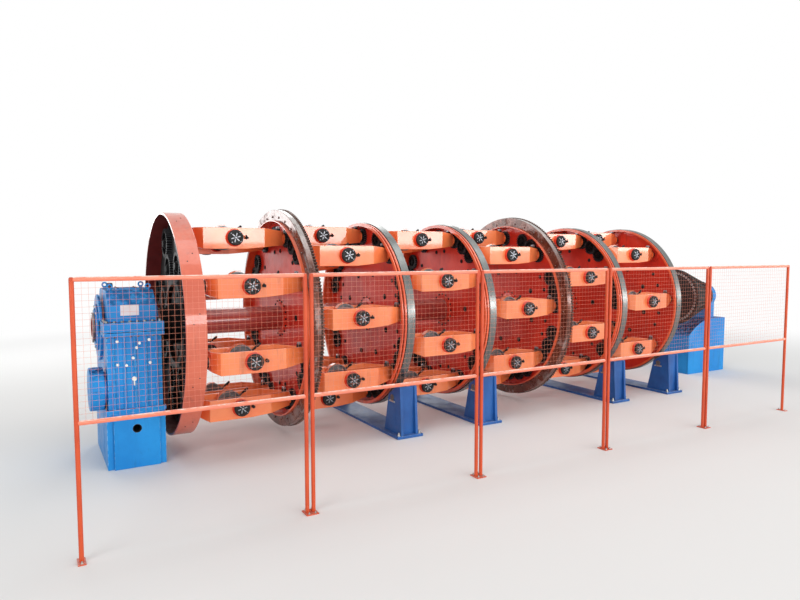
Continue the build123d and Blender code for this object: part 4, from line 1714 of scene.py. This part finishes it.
@dataclass
class Gearbox:
    """The blue drive gearbox on its plinth, deeper towards the fence than behind the axis."""

    bevel: float = 0.009
    panel_reach: float = 0.025
    panel_inset: float = 0.070
    duct_radius: float = 0.050
    duct_height: float = 0.460
    duct_sides: int = 32
    overhang: float = 0.030
    foot: float = 0.050
    lower_flange: float = 0.045
    upper_flange: float = 0.115
    rib_count: int = 5
    rib_pitch: float = 0.115
    rib_width: float = 0.022
    rib_depth: float = 0.022
    boss_radius: float = 0.400
    cover_half_length: float = 0.262
    cover_inset: float = 0.145
    shoulder: float = 0.175
    roof_drop: float = 0.040
    neck: float = 0.030
    neck_radius: float = 0.190
    cap_radius: float = 0.285
    cap_depth: float = 0.030
    plate_low: tuple[float, float] = (-0.127, 1.761)
    plate_high: tuple[float, float] = (0.073, 1.884)
    front_screws: tuple[tuple[float, float], ...] = (
        (-0.186, 1.482),
        (0.155, 1.484),
        (0.048, 1.451),
        (0.017, 1.399),
        (-0.021, 1.283),
        (-0.095, 1.202),
        (-0.189, 1.216),
        (0.159, 1.217),
    )
    level_glass: tuple[float, float] = (-0.016, 1.043)

    def dress(self, layout: Layout) -> None:
        """Build the plinth, housing, cover, coupling guard and fittings.

        Args:
            layout: The machine's layout.
        """
        self.layout = layout
        self.low, self.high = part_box("gearbox_housing")
        self.wall_x = self.high.x - self.overhang
        self.front = self.low.y + self.overhang
        self.back = self.high.y - self.overhang
        self.split = self.high.z
        self.plinth()
        self.housing()
        self.cover()
        self.guard()
        self.flange_bolts()
        self.bearing_caps()
        self.front_fittings()
        self.top_fittings()

    def plinth(self) -> None:
        """The welded plinth: two columns beside a raised panel, with the duct bored through."""
        low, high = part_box("gearbox_plinth")
        panel = high.x - self.panel_inset
        front, back = low.y + self.panel_reach, high.y - self.panel_reach
        shape = Shape()
        for start, end in ((low.x, 0.03 - panel), (panel - 0.03, high.x)):
            shape.block((start, front, 0), (end, back, high.z), self.bevel)
        hole = [
            (self.duct_radius * math.cos(turn), self.duct_height + self.duct_radius * math.sin(turn))
            for turn in (math.tau * step / self.duct_sides for step in range(self.duct_sides))
        ]
        centre = (0.0, self.duct_height)
        outline = framed((-panel, 0.0), (panel, high.z), centre, self.duct_sides)
        base = Matrix.Translation((0, high.y, 0)) @ Along.MINUS_Y.value
        shape.prism(outline, high.y - low.y, base, self.bevel / 2, hole)
        shape.piece("plinth", Finish.GEARBOX_BLUE, Slot.GEARBOX, FRAME_BODY, ("gearbox_plinth",))
        lining = Shape()
        sleeve = [(0, self.duct_radius - 0.006), (0, self.duct_radius - 0.0005)]
        depth = high.y - low.y - 0.010
        sleeve += [(depth, self.duct_radius - 0.0005), (depth, self.duct_radius - 0.006)]
        lining.spun(sleeve, Vector((0, low.y + 0.005, self.duct_height)), self.duct_sides, Along.Y)
        lining.piece("plinth_duct_sleeve", Finish.BLACK_IRON, Slot.IRON, FRAME_BODY)

    def half_bosses(self, shape: Shape, first: float) -> None:
        """Half of the round bearing boss on each end.

        Args:
            shape: The shape that gets them.
            first: The angle that the half starts from in degrees, 0 for the upper one.
        """
        turns = [math.radians(first + 7.5 * step) for step in range(25)]
        outline = [(self.boss_radius * math.cos(turn), self.boss_radius * math.sin(turn)) for turn in turns]
        for x in (-self.high.x, self.wall_x):
            base = Matrix.Translation(self.layout.at(x)) @ PROFILE_ALONG_X
            shape.prism(outline, self.overhang, base, 0.006)

    def housing(self) -> None:
        """The ribbed lower housing between its foot and its joint flange."""
        low, high, wall = self.low, self.high, self.wall_x
        shape = Shape().block((-wall, self.front, low.z), (wall, self.back, self.split), self.bevel)
        shape.block(low, (high.x, high.y, low.z + self.foot), 0.008)
        flange = (low.x, low.y, self.split - self.lower_flange)
        shape.block(flange, (high.x, high.y, self.split - 0.001), 0.006)
        for face, way in ((self.front, -1), (self.back, 1)):
            near, far = sorted((face - way * 0.010, face + way * self.rib_depth))
            for step in range(self.rib_count):
                x = (step - (self.rib_count - 1) / 2) * self.rib_pitch
                start = (x - self.rib_width / 2, near, low.z + self.foot - 0.005)
                end = (x + self.rib_width / 2, far, self.split - self.lower_flange + 0.005)
                shape.block(start, end, 0.006)
        self.half_bosses(shape, 180)
        shape.piece("lower_housing", Finish.GEARBOX_BLUE, Slot.GEARBOX, FRAME_BODY, ("gearbox_housing",))

    def cover(self) -> None:
        """The upper housing with its sloped shoulders and its thick flange."""
        low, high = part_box("gearbox_cover")
        flange = (high.x, high.y, low.z + self.upper_flange)
        shape = Shape().block((low.x, low.y, low.z + 0.002), flange, self.bevel)
        front, back = low.y + self.cover_inset, high.y - self.cover_inset
        top = high.z - self.roof_drop
        foot = low.z + self.upper_flange - 0.02
        outline = [
            (front, foot),
            (front, top - self.shoulder),
            (front + self.shoulder, top),
            (back - self.shoulder, top),
            (back, top - self.shoulder),
            (back, foot),
        ]
        base = Matrix.Translation((-self.cover_half_length, 0, 0)) @ PROFILE_ALONG_X
        shape.prism(outline, 2 * self.cover_half_length, base, self.bevel)
        self.half_bosses(shape, 0)
        shape.piece("upper_housing", Finish.GEARBOX_BLUE, Slot.GEARBOX, FRAME_BODY, ("gearbox_cover",))

    def guard(self) -> None:
        """The round guard over the input coupling, split at the height of its shaft."""
        low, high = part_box("coupling_guard")
        radius = (high.z - low.z) / 2
        centre = Vector((high.x, (low.y + high.y) / 2, (low.z + high.z) / 2))
        length = high.x - low.x
        outline = [(-0.005, 0), (-0.005, self.neck_radius), (self.neck, self.neck_radius)]
        outline += [(self.neck, radius - 0.010), (self.neck + 0.003, radius - 0.003)]
        outline += [(self.neck + 0.010, radius), (length - 0.014, radius)]
        outline += [(length - 0.004, radius - 0.004), (length, radius - 0.014), (length, 0)]
        shape = Shape().spun(outline, centre, 56, Along.MINUS_X)
        for way in (-1, 1):
            near, far = sorted((centre.y + way * (radius - 0.004), centre.y + way * (radius + 0.014)))
            corner = (high.x - self.neck - 0.004, far, centre.z + 0.009)
            shape.block((low.x + 0.006, near, centre.z - 0.009), corner, 0.003)
        shape.piece("round_guard", Finish.GEARBOX_BLUE, Slot.GEARBOX, FRAME_BODY, ("coupling_guard",))

    def flange_bolts(self) -> None:
        """Bolts down through the joint flanges and into the plinth."""
        bolts = Shape()
        top = self.split + self.upper_flange
        foot = self.low.z + self.foot
        for y in (self.low.y + 0.034, self.high.y - 0.034):
            for step in range(8):
                x = self.low.x + 0.040 + step * (self.high.x - self.low.x - 0.080) / 7
                bolts.bolts([Vector((x, y, top))], Along.Z, 0.019, 0.018)
                bolts.bolts([Vector((x, y, self.split - self.lower_flange))], Along.MINUS_Z, 0.017, 0.014)
        for x in (self.low.x + 0.030, self.high.x - 0.030):
            for y in (-0.640, -0.550, -0.460, 0.455):
                bolts.bolts([Vector((x, y, top))], Along.Z, 0.019, 0.018)
        for x in (self.low.x + 0.014, self.high.x - 0.014):
            for step in range(5):
                y = self.low.y + 0.10 + step * (self.high.y - self.low.y - 0.20) / 4
                bolts.bolts([Vector((x, y, foot))], Along.Z, 0.013, 0.014)
        bolts.piece("gearbox_flange_bolts", Finish.ROLLER_STEEL, Slot.STEEL, FRAME_BODY)

    def bearing_caps(self) -> None:
        """The bearing caps round the tube on both ends, with their screws."""
        caps, screws = Shape(), Shape()
        inner = self.layout.tube_radius + 0.004
        outer, depth = self.cap_radius, self.cap_depth
        ring = [(-0.02, inner), (-0.02, outer), (0.012, outer), (0.018, outer - 0.006)]
        ring += [(0.018, outer - 0.050), (depth, outer - 0.060), (depth, inner)]
        for x, along in ((self.low.x, Along.MINUS_X), (self.high.x, Along.X)):
            caps.spun(ring, self.layout.at(x), 64, along)
            way = math.copysign(0.018, x)
            screws.bolts(self.layout.ring(x + way, outer - 0.025, 15, 12), along, 0.013, 0.011)
        caps.piece("gearbox_bearing_caps", Finish.GEARBOX_BLUE, Slot.GEARBOX, FRAME_BODY)
        screws.piece("gearbox_cap_screws", Finish.BRIGHT_STEEL, Slot.STEEL, FRAME_BODY)

    def front_fittings(self) -> None:
        """Bright plugs, the oil level glass and the bare plate on the fence side."""
        plugs = Shape()
        reach = self.rib_depth + 0.004
        for x, z in self.front_screws:
            plugs.rod((x, self.front, z), (x, self.front - reach, z), 0.016, 12)
            plugs.bolts([Vector((x, self.front - reach, z))], Along.MINUS_Y, 0.012, 0.010)
        x, z = self.level_glass
        ring = [(0, 0), (0, 0.026), (0.030, 0.026), (0.034, 0.022), (0.034, 0.014), (0.026, 0.012)]
        plugs.spun([*ring, (0.026, 0)], Vector((x, self.front, z)), 24, Along.MINUS_Y)
        plugs.rod((x, self.front - 0.02, z - 0.03), (x, self.front - 0.02, z - 0.075), 0.009, 10)
        plugs.piece("gearbox_plugs", Finish.PLUG_STEEL, Slot.STEEL, FRAME_BODY)
        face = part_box("gearbox_cover")[0].y + self.cover_inset
        (left, bottom), (right, top) = self.plate_low, self.plate_high
        plate = Shape().block((left, face - 0.004, bottom), (right, face + 0.002, top), 0.002)
        for x in (left + 0.010, right - 0.010):
            for z in (bottom + 0.010, top - 0.010):
                plate.rod((x, face, z), (x, face - 0.006, z), 0.004, 8)
        plate.piece("bare_plate", Finish.PLATE_GREY, Slot.STEEL, FRAME_BODY)

    def top_fittings(self) -> None:
        """Inspection lid, breather and lifting eyes on the roof."""
        cover_low, cover_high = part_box("gearbox_cover")
        top = cover_high.z - self.roof_drop
        front = cover_low.y + self.cover_inset + self.shoulder
        back = cover_high.y - self.cover_inset - self.shoulder
        middle = (front + back) / 2
        lid = Shape().block((-0.13, middle - 0.16, top - 0.01), (0.13, middle + 0.16, top + 0.014), 0.004)
        lid.piece("inspection_lid", Finish.GEARBOX_BLUE, Slot.GEARBOX, FRAME_BODY)
        fittings, eyes = Shape(), Shape()
        for x in (-0.105, 0.105):
            for y in (middle - 0.135, middle, middle + 0.135):
                fittings.bolts([Vector((x, y, top + 0.014))], Along.Z, 0.012, 0.010)
        stem = Vector((-0.19, middle - 0.10, top - 0.005))
        fittings.rod(stem, stem + Vector((0, 0, 0.055)), 0.020, 16)
        cap = [(0.045, 0), (0.045, 0.036), (0.078, 0.032), (0.085, 0.024), (0.085, 0)]
        fittings.spun(cap, stem, 20, Along.Z)
        for y in (front + 0.05, back - 0.05):
            for x in (-0.21, 0.21):
                ring = bmesh.new()
                bmesh.ops.create_circle(ring, segments=10, radius=0.010)
                bmesh.ops.translate(ring, verts=ring.verts, vec=(0.026, 0, 0))
                bmesh.ops.rotate(ring, verts=ring.verts, matrix=Matrix.Rotation(math.radians(90), 3, "X"))
                bmesh.ops.spin(
                    ring,
                    geom=ring.verts[:] + ring.edges[:],
                    axis=(0, 0, 1),
                    angle=math.tau,
                    steps=20,
                    use_merge=True,
                )
                base = Matrix.Translation((x, y, top + 0.043))
                eyes.take(ring, base @ Matrix.Rotation(math.radians(90), 4, "X"))
                eyes.rod((x, y, top - 0.005), (x, y, top + 0.014), 0.022, 12)
        fittings.piece("gearbox_top_fittings", Finish.BLACK_IRON, Slot.IRON, FRAME_BODY)
        eyes.piece("gearbox_lifting_eyes", Finish.GEARBOX_BLUE, Slot.GEARBOX, FRAME_BODY)


@dataclass
class RollerStand:
    """A blue stand with two rollers under one tyre."""

    number: int
    roller_radius: float = 0.150
    roller_width: float = 0.135
    running_gap: float = 0.0003
    gap: float = 0.025
    cheek: float = 0.040
    base: float = 0.040
    web: float = 0.020
    web_reach: float = 0.165
    anchor_inset: float = 0.040

    def dress(self, layout: Layout) -> None:
        """Build the stand, its rollers and its bolts.

        Args:
            layout: The machine's layout.
        """
        self.low, self.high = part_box(f"roller_stand_{self.number}")
        tyre_low, tyre_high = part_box(f"tyre_{self.number}")
        self.middle = (tyre_low.x + tyre_high.x) / 2
        reach = (tyre_high.z - tyre_low.z) / 2 + self.roller_radius + self.running_gap
        self.side = reach * math.cos(math.radians(45))
        self.height = layout.axis_z - self.side
        self.inner = self.roller_width / 2 + self.gap
        self.stand()
        self.rollers()
        self.bolts()

    def stand(self) -> None:
        """The base plate, the cheeks and the front webs."""
        top, side, inner = self.high.z, self.side, self.inner
        shape = Shape().block(self.low, (self.high.x, self.high.y, self.base), 0.006)
        profile = [(0.240, self.base - 0.002), (0.200, top), (0.110, top), (-0.110, self.height + 0.030)]
        profile += [(-0.230, self.base - 0.002)]
        for way in (-1, 1):
            outline = [(way * (side + out), z) for out, z in profile]
            for x in (-inner - self.cheek, inner):
                base = Matrix.Translation((self.middle + x, 0, 0)) @ PROFILE_ALONG_X
                shape.prism(outline, self.cheek, base, 0.005)
            near, far = sorted((way * (side + self.web_reach), way * (side + self.web_reach + self.web)))
            start = (self.middle - inner - 0.005, near, self.base - 0.005)
            shape.block(start, (self.middle + inner + 0.005, far, top - 0.001))
        name = f"roller_stand_{self.number}"
        shape.piece(f"stand_{self.number}", Finish.STAND_BLUE, Slot.STAND, FRAME_BODY, (name,))

    def rollers(self) -> None:
        """The two rollers with their pins and keeper plates."""
        shape = Shape()
        half, radius = self.roller_width / 2, self.roller_radius
        out = self.inner + self.cheek
        wheel = [(-half, 0), (-half, 0.050), (-half + 0.010, 0.056), (-half + 0.010, radius - 0.030)]
        wheel += [(-half, radius - 0.026), (-half, radius - 0.004), (-half + 0.004, radius)]
        wheel += [(-x, r) for x, r in reversed(wheel)]
        for way in (-1, 1):
            centre = Vector((self.middle, way * self.side, self.height))
            shape.spun(wheel, centre, 48)
            pin = Vector((out + 0.012, 0, 0))
            shape.rod(centre - pin, centre + pin, 0.044, 20)
            for x in (-out - 0.010, out):
                start = centre + Vector((x, -0.070, -0.062))
                shape.block(start, start + Vector((0.010, 0.140, 0.022)), 0.002, 1)
        replaced = ("support_rollers",) if self.number == TYRE_DISCS[0] else ()
        shape.piece(f"rollers_{self.number}", Finish.ROLLER_STEEL, Slot.DARK_STEEL, FRAME_BODY, replaced)

    def bolts(self) -> None:
        """Keeper plate screws and the anchor bolts with their nuts."""
        shape = Shape()
        out = self.inner + self.cheek + 0.010
        for way in (-1, 1):
            for x, along in ((-out, Along.MINUS_X), (out, Along.X)):
                middle = Vector((self.middle + x, way * self.side, self.height - 0.051))
                spots = [middle + Vector((0, y, 0)) for y in (-0.058, 0.058)]
                shape.bolts(spots, along, 0.010, 0.008)
        inset = self.anchor_inset
        for x in (self.low.x + inset, self.high.x - inset):
            for y in (self.low.y + inset, self.high.y - inset):
                shape.rod((x, y, self.base - 0.010), (x, y, self.base + 0.045), 0.012, 10)
                shape.rod((x, y, self.base), (x, y, self.base + 0.004), 0.026, 16)
                shape.bolts([Vector((x, y, self.base + 0.004))], Along.Z, 0.021, 0.020)
        shape.piece(f"stand_bolts_{self.number}", Finish.BRIGHT_STEEL, Slot.STEEL, FRAME_BODY)


@dataclass
class ExitStand:
    """The blue stand that carries the tube's far end."""

    pedestal_end: float = 0.030
    pedestal_width: float = 0.160
    cap_radius: float = 0.225

    def dress(self, layout: Layout) -> None:
        """Finish the stand and add its bearing caps and screws.

        Args:
            layout: The machine's layout.
        """
        stand = bpy.data.objects["exit_stand"]
        for slot in stand.material_slots:
            slot.material = Finish.GEARBOX_BLUE.material()
        inner = layout.tube_radius + 0.004
        outer = self.cap_radius
        cap = [(-0.01, inner), (-0.01, outer), (0.008, outer), (0.012, outer - 0.004), (0.012, inner)]
        caps, screws = Shape(), Shape()
        end = layout.tube_ends[1] - self.pedestal_end
        start = end - self.pedestal_width
        for x, along in ((end, Along.X), (start, Along.MINUS_X)):
            caps.spun(cap, layout.at(x), 64, along)
            way = 0.012 if along is Along.X else -0.012
            screws.bolts(layout.ring(x + way, outer - 0.025, 15, 12), along, 0.010, 0.008)
        caps.piece("exit_bearing_caps", Finish.GEARBOX_BLUE, Slot.STAND, FRAME_BODY)
        screws.piece("exit_cap_screws", Finish.BRIGHT_STEEL, Slot.STEEL, FRAME_BODY)


@dataclass
class FencePanel:
    """One mesh panel of the guard fence with its two posts and two rails."""

    number: int
    seat: float = 0.050
    tube: float = 0.038
    mesh: float = 0.050
    wire: float = 0.0008
    lower_rail: float = 1.136
    bevel: float = 0.016
    gap: float = 0.007
    weld: float = 0.004

    def dress(self, layout: Layout) -> None:
        """Build the panel.

        Args:
            layout: The machine's layout, which a panel makes no use of.
        """
        low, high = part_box(f"fence_panel_{self.number}")
        middle = (low.y + high.y) / 2
        half = self.tube / 2
        inset = self.gap + (self.seat - self.tube) / 2
        left, right = low.x + inset, high.x - inset
        shape, rods = Shape(), Shape()
        for x in (left, right - self.tube):
            shape.block((x, middle - half, 0), (x + self.tube, middle + half, high.z), self.bevel, 4)
        rails = (self.lower_rail, high.z - half)
        for z in rails:
            start, end = left + self.tube - self.bevel, right - self.tube + self.bevel
            rods.block((start, middle - half, z - half), (end, middle + half, z + half), self.bevel, 4)
        for x in (left + half, right - half):
            foot = self.seat / 2 + self.gap - 0.001
            shape.block((x - foot, middle - 0.07, 0), (x + foot, middle + 0.07, 0.010), 0.002)
        name = f"fence_panel_{self.number}"
        shape.piece(f"fence_frame_{self.number}", Finish.FENCE_ORANGE, Slot.FENCE, FRAME_BODY, (name,))
        # The rails take a lit copy of the fence paint, with painted highlight on top.
        rods.piece(f"fence_rails_{self.number}", Finish.RAIL_ORANGE, Slot.FENCE, FRAME_BODY)
        wires = Shape()
        first_x, last_x = left + self.tube, right - self.tube
        first_z, last_z = rails[0] + half, rails[1] - half
        columns = round((last_x - first_x) / self.mesh)
        rows = round((last_z - first_z) / self.mesh)
        for step in range(1, columns):
            x = first_x + step * (last_x - first_x) / columns
            wires.rod((x, middle, first_z - self.weld), (x, middle, last_z + self.weld), self.wire, 4)
        for step in range(1, rows):
            z = first_z + step * (last_z - first_z) / rows
            y = middle - 2 * self.wire
            wires.rod((first_x - self.weld, y, z), (last_x + self.weld, y, z), self.wire, 4)
        # The wires take a paler, lit copy of the fence paint.
        wires.piece(f"fence_mesh_{self.number}", Finish.MESH_SALMON, Slot.FENCE, FRAME_BODY)
        anchors = Shape()
        for x in (left + half, right - half):
            for y in (middle - 0.05, middle + 0.05):
                anchors.rod((x, y, 0.010), (x, y, 0.030), 0.006, 8)
                anchors.bolts([Vector((x, y, 0.010))], Along.Z, 0.011, 0.009)
        anchors.piece(f"fence_anchors_{self.number}", Finish.BRIGHT_STEEL, Slot.FENCE, FRAME_BODY)


@dataclass
class Studio:
    """Floor, backdrop light, lamps and the camera at the photograph's angle."""

    camera_place: tuple[float, float, float] = (-1.019, -8.551, 2.484)
    camera_turn: tuple[float, float, float] = (85.78, 0.0, -30.1)
    lens: float = 28.8
    sensor: float = 36.0
    floor_size: float = 120.0
    world_strength: float = 0.40
    world_colour: Colour = (1.0, 1.0, 1.0)

    def build(self) -> None:
        """Set the whole studio up."""
        self.floor()
        self.world()
        self.lamps()
        self.camera()

    def floor(self) -> None:
        """A plain pale floor under the machine."""
        part = bmesh.new()
        bmesh.ops.create_grid(part, x_segments=1, y_segments=1, size=self.floor_size / 2)
        mesh = bpy.data.meshes.new("studio_floor")
        part.to_mesh(mesh)
        part.free()
        mesh.materials.append(Finish.FLOOR.material())
        floor = bpy.data.objects.new("studio_floor", mesh)
        bpy.context.scene.collection.objects.link(floor)

    def world(self) -> None:
        """Soft even light, and a white background for the camera and for gloss."""
        world = bpy.data.worlds.new("studio_world")
        world.use_nodes = True
        bpy.context.scene.world = world
        tree = Nodes(world.node_tree)
        back = tree.nodes["Background"]
        back.inputs["Color"].default_value = (*self.world_colour, 1.0)
        level = tree.calc("MULTIPLY_ADD", tree.seen(), 1 - self.world_strength, self.world_strength)
        tree.feed(back.inputs["Strength"], level)

    def lamp(self, name: str, place: Vector, target: Vector, size: tuple[float, float], power: float) -> None:
        """One large oblong lamp.

        Args:
            name: The lamp's name.
            place: Where it hangs.
            target: The point that it faces.
            size: Its length and height.
            power: Its power in watts.
        """
        light = bpy.data.lights.new(name, "AREA")
        light.shape = "RECTANGLE"
        light.size, light.size_y = size
        light.energy = power
        made = bpy.data.objects.new(name, light)
        made.location = place
        made.rotation_euler = (target - place).to_track_quat("-Z", "Y").to_euler()
        bpy.context.scene.collection.objects.link(made)

    def lamps(self) -> None:
        """A long window lamp before the fence, one overhead, a fill at the drive end and two behind."""
        middle = Vector((5.0, 0.0, 1.4))
        self.lamp("window_lamp", Vector((13.0, -15.0, 3.9)), Vector((11.0, 0.0, 2.6)), (30.0, 2.4), 2300.0)
        self.lamp("roof_lamp", Vector((5.0, -2.0, 9.0)), middle, (13.0, 4.0), 350.0)
        self.lamp("fill_lamp", Vector((-8.0, -9.0, 4.5)), middle, (6.0, 6.0), 450.0)
        self.lamp("back_lamp", Vector((8.0, 10.0, 8.0)), middle, (8.0, 8.0), 500.0)
        self.lamp("north_lamp", Vector((-2.5, 11.0, 4.4)), Vector((4.0, 0.0, 2.0)), (7.0, 3.0), 300.0)

    def camera(self) -> None:
        """The camera that took the photograph."""
        data = bpy.data.cameras.new("photo_camera")
        data.lens = self.lens
        data.sensor_width = self.sensor
        data.sensor_fit = "HORIZONTAL"
        data.clip_end = 200.0
        camera = bpy.data.objects.new("photo_camera", data)
        camera.location = self.camera_place
        camera.rotation_euler = [math.radians(angle) for angle in self.camera_turn]
        bpy.context.scene.collection.objects.link(camera)
        bpy.context.scene.camera = camera


def main() -> None:
    """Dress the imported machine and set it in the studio."""
    logging.basicConfig(level=logging.INFO, format="%(name)s: %(message)s")
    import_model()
    bpy.context.scene.view_settings.view_transform = "Standard"
    Studio().build()
    layout = Layout.read()
    assemblies = [Gearbox(), MainTube(), Drum()]
    assemblies += [CageDisc(number) for number in BAYS]
    assemblies += [Tyre(number) for number in TYRE_DISCS]
    assemblies += [RingGear(number) for number in TOOTHED_DISCS]
    assemblies += [LinkGears(number) for number in LINK_DISCS]
    assemblies += [Cradle(), LayHead(), ExitStand()]
    assemblies += [RollerStand(number) for number in TYRE_DISCS]
    assemblies += [FencePanel(number) for number in range(1, 6)]
    for assembly in assemblies:
        assembly.dress(layout)
        LOG.info("dressed: %s", assembly)


if __name__ == "__main__":
    main()
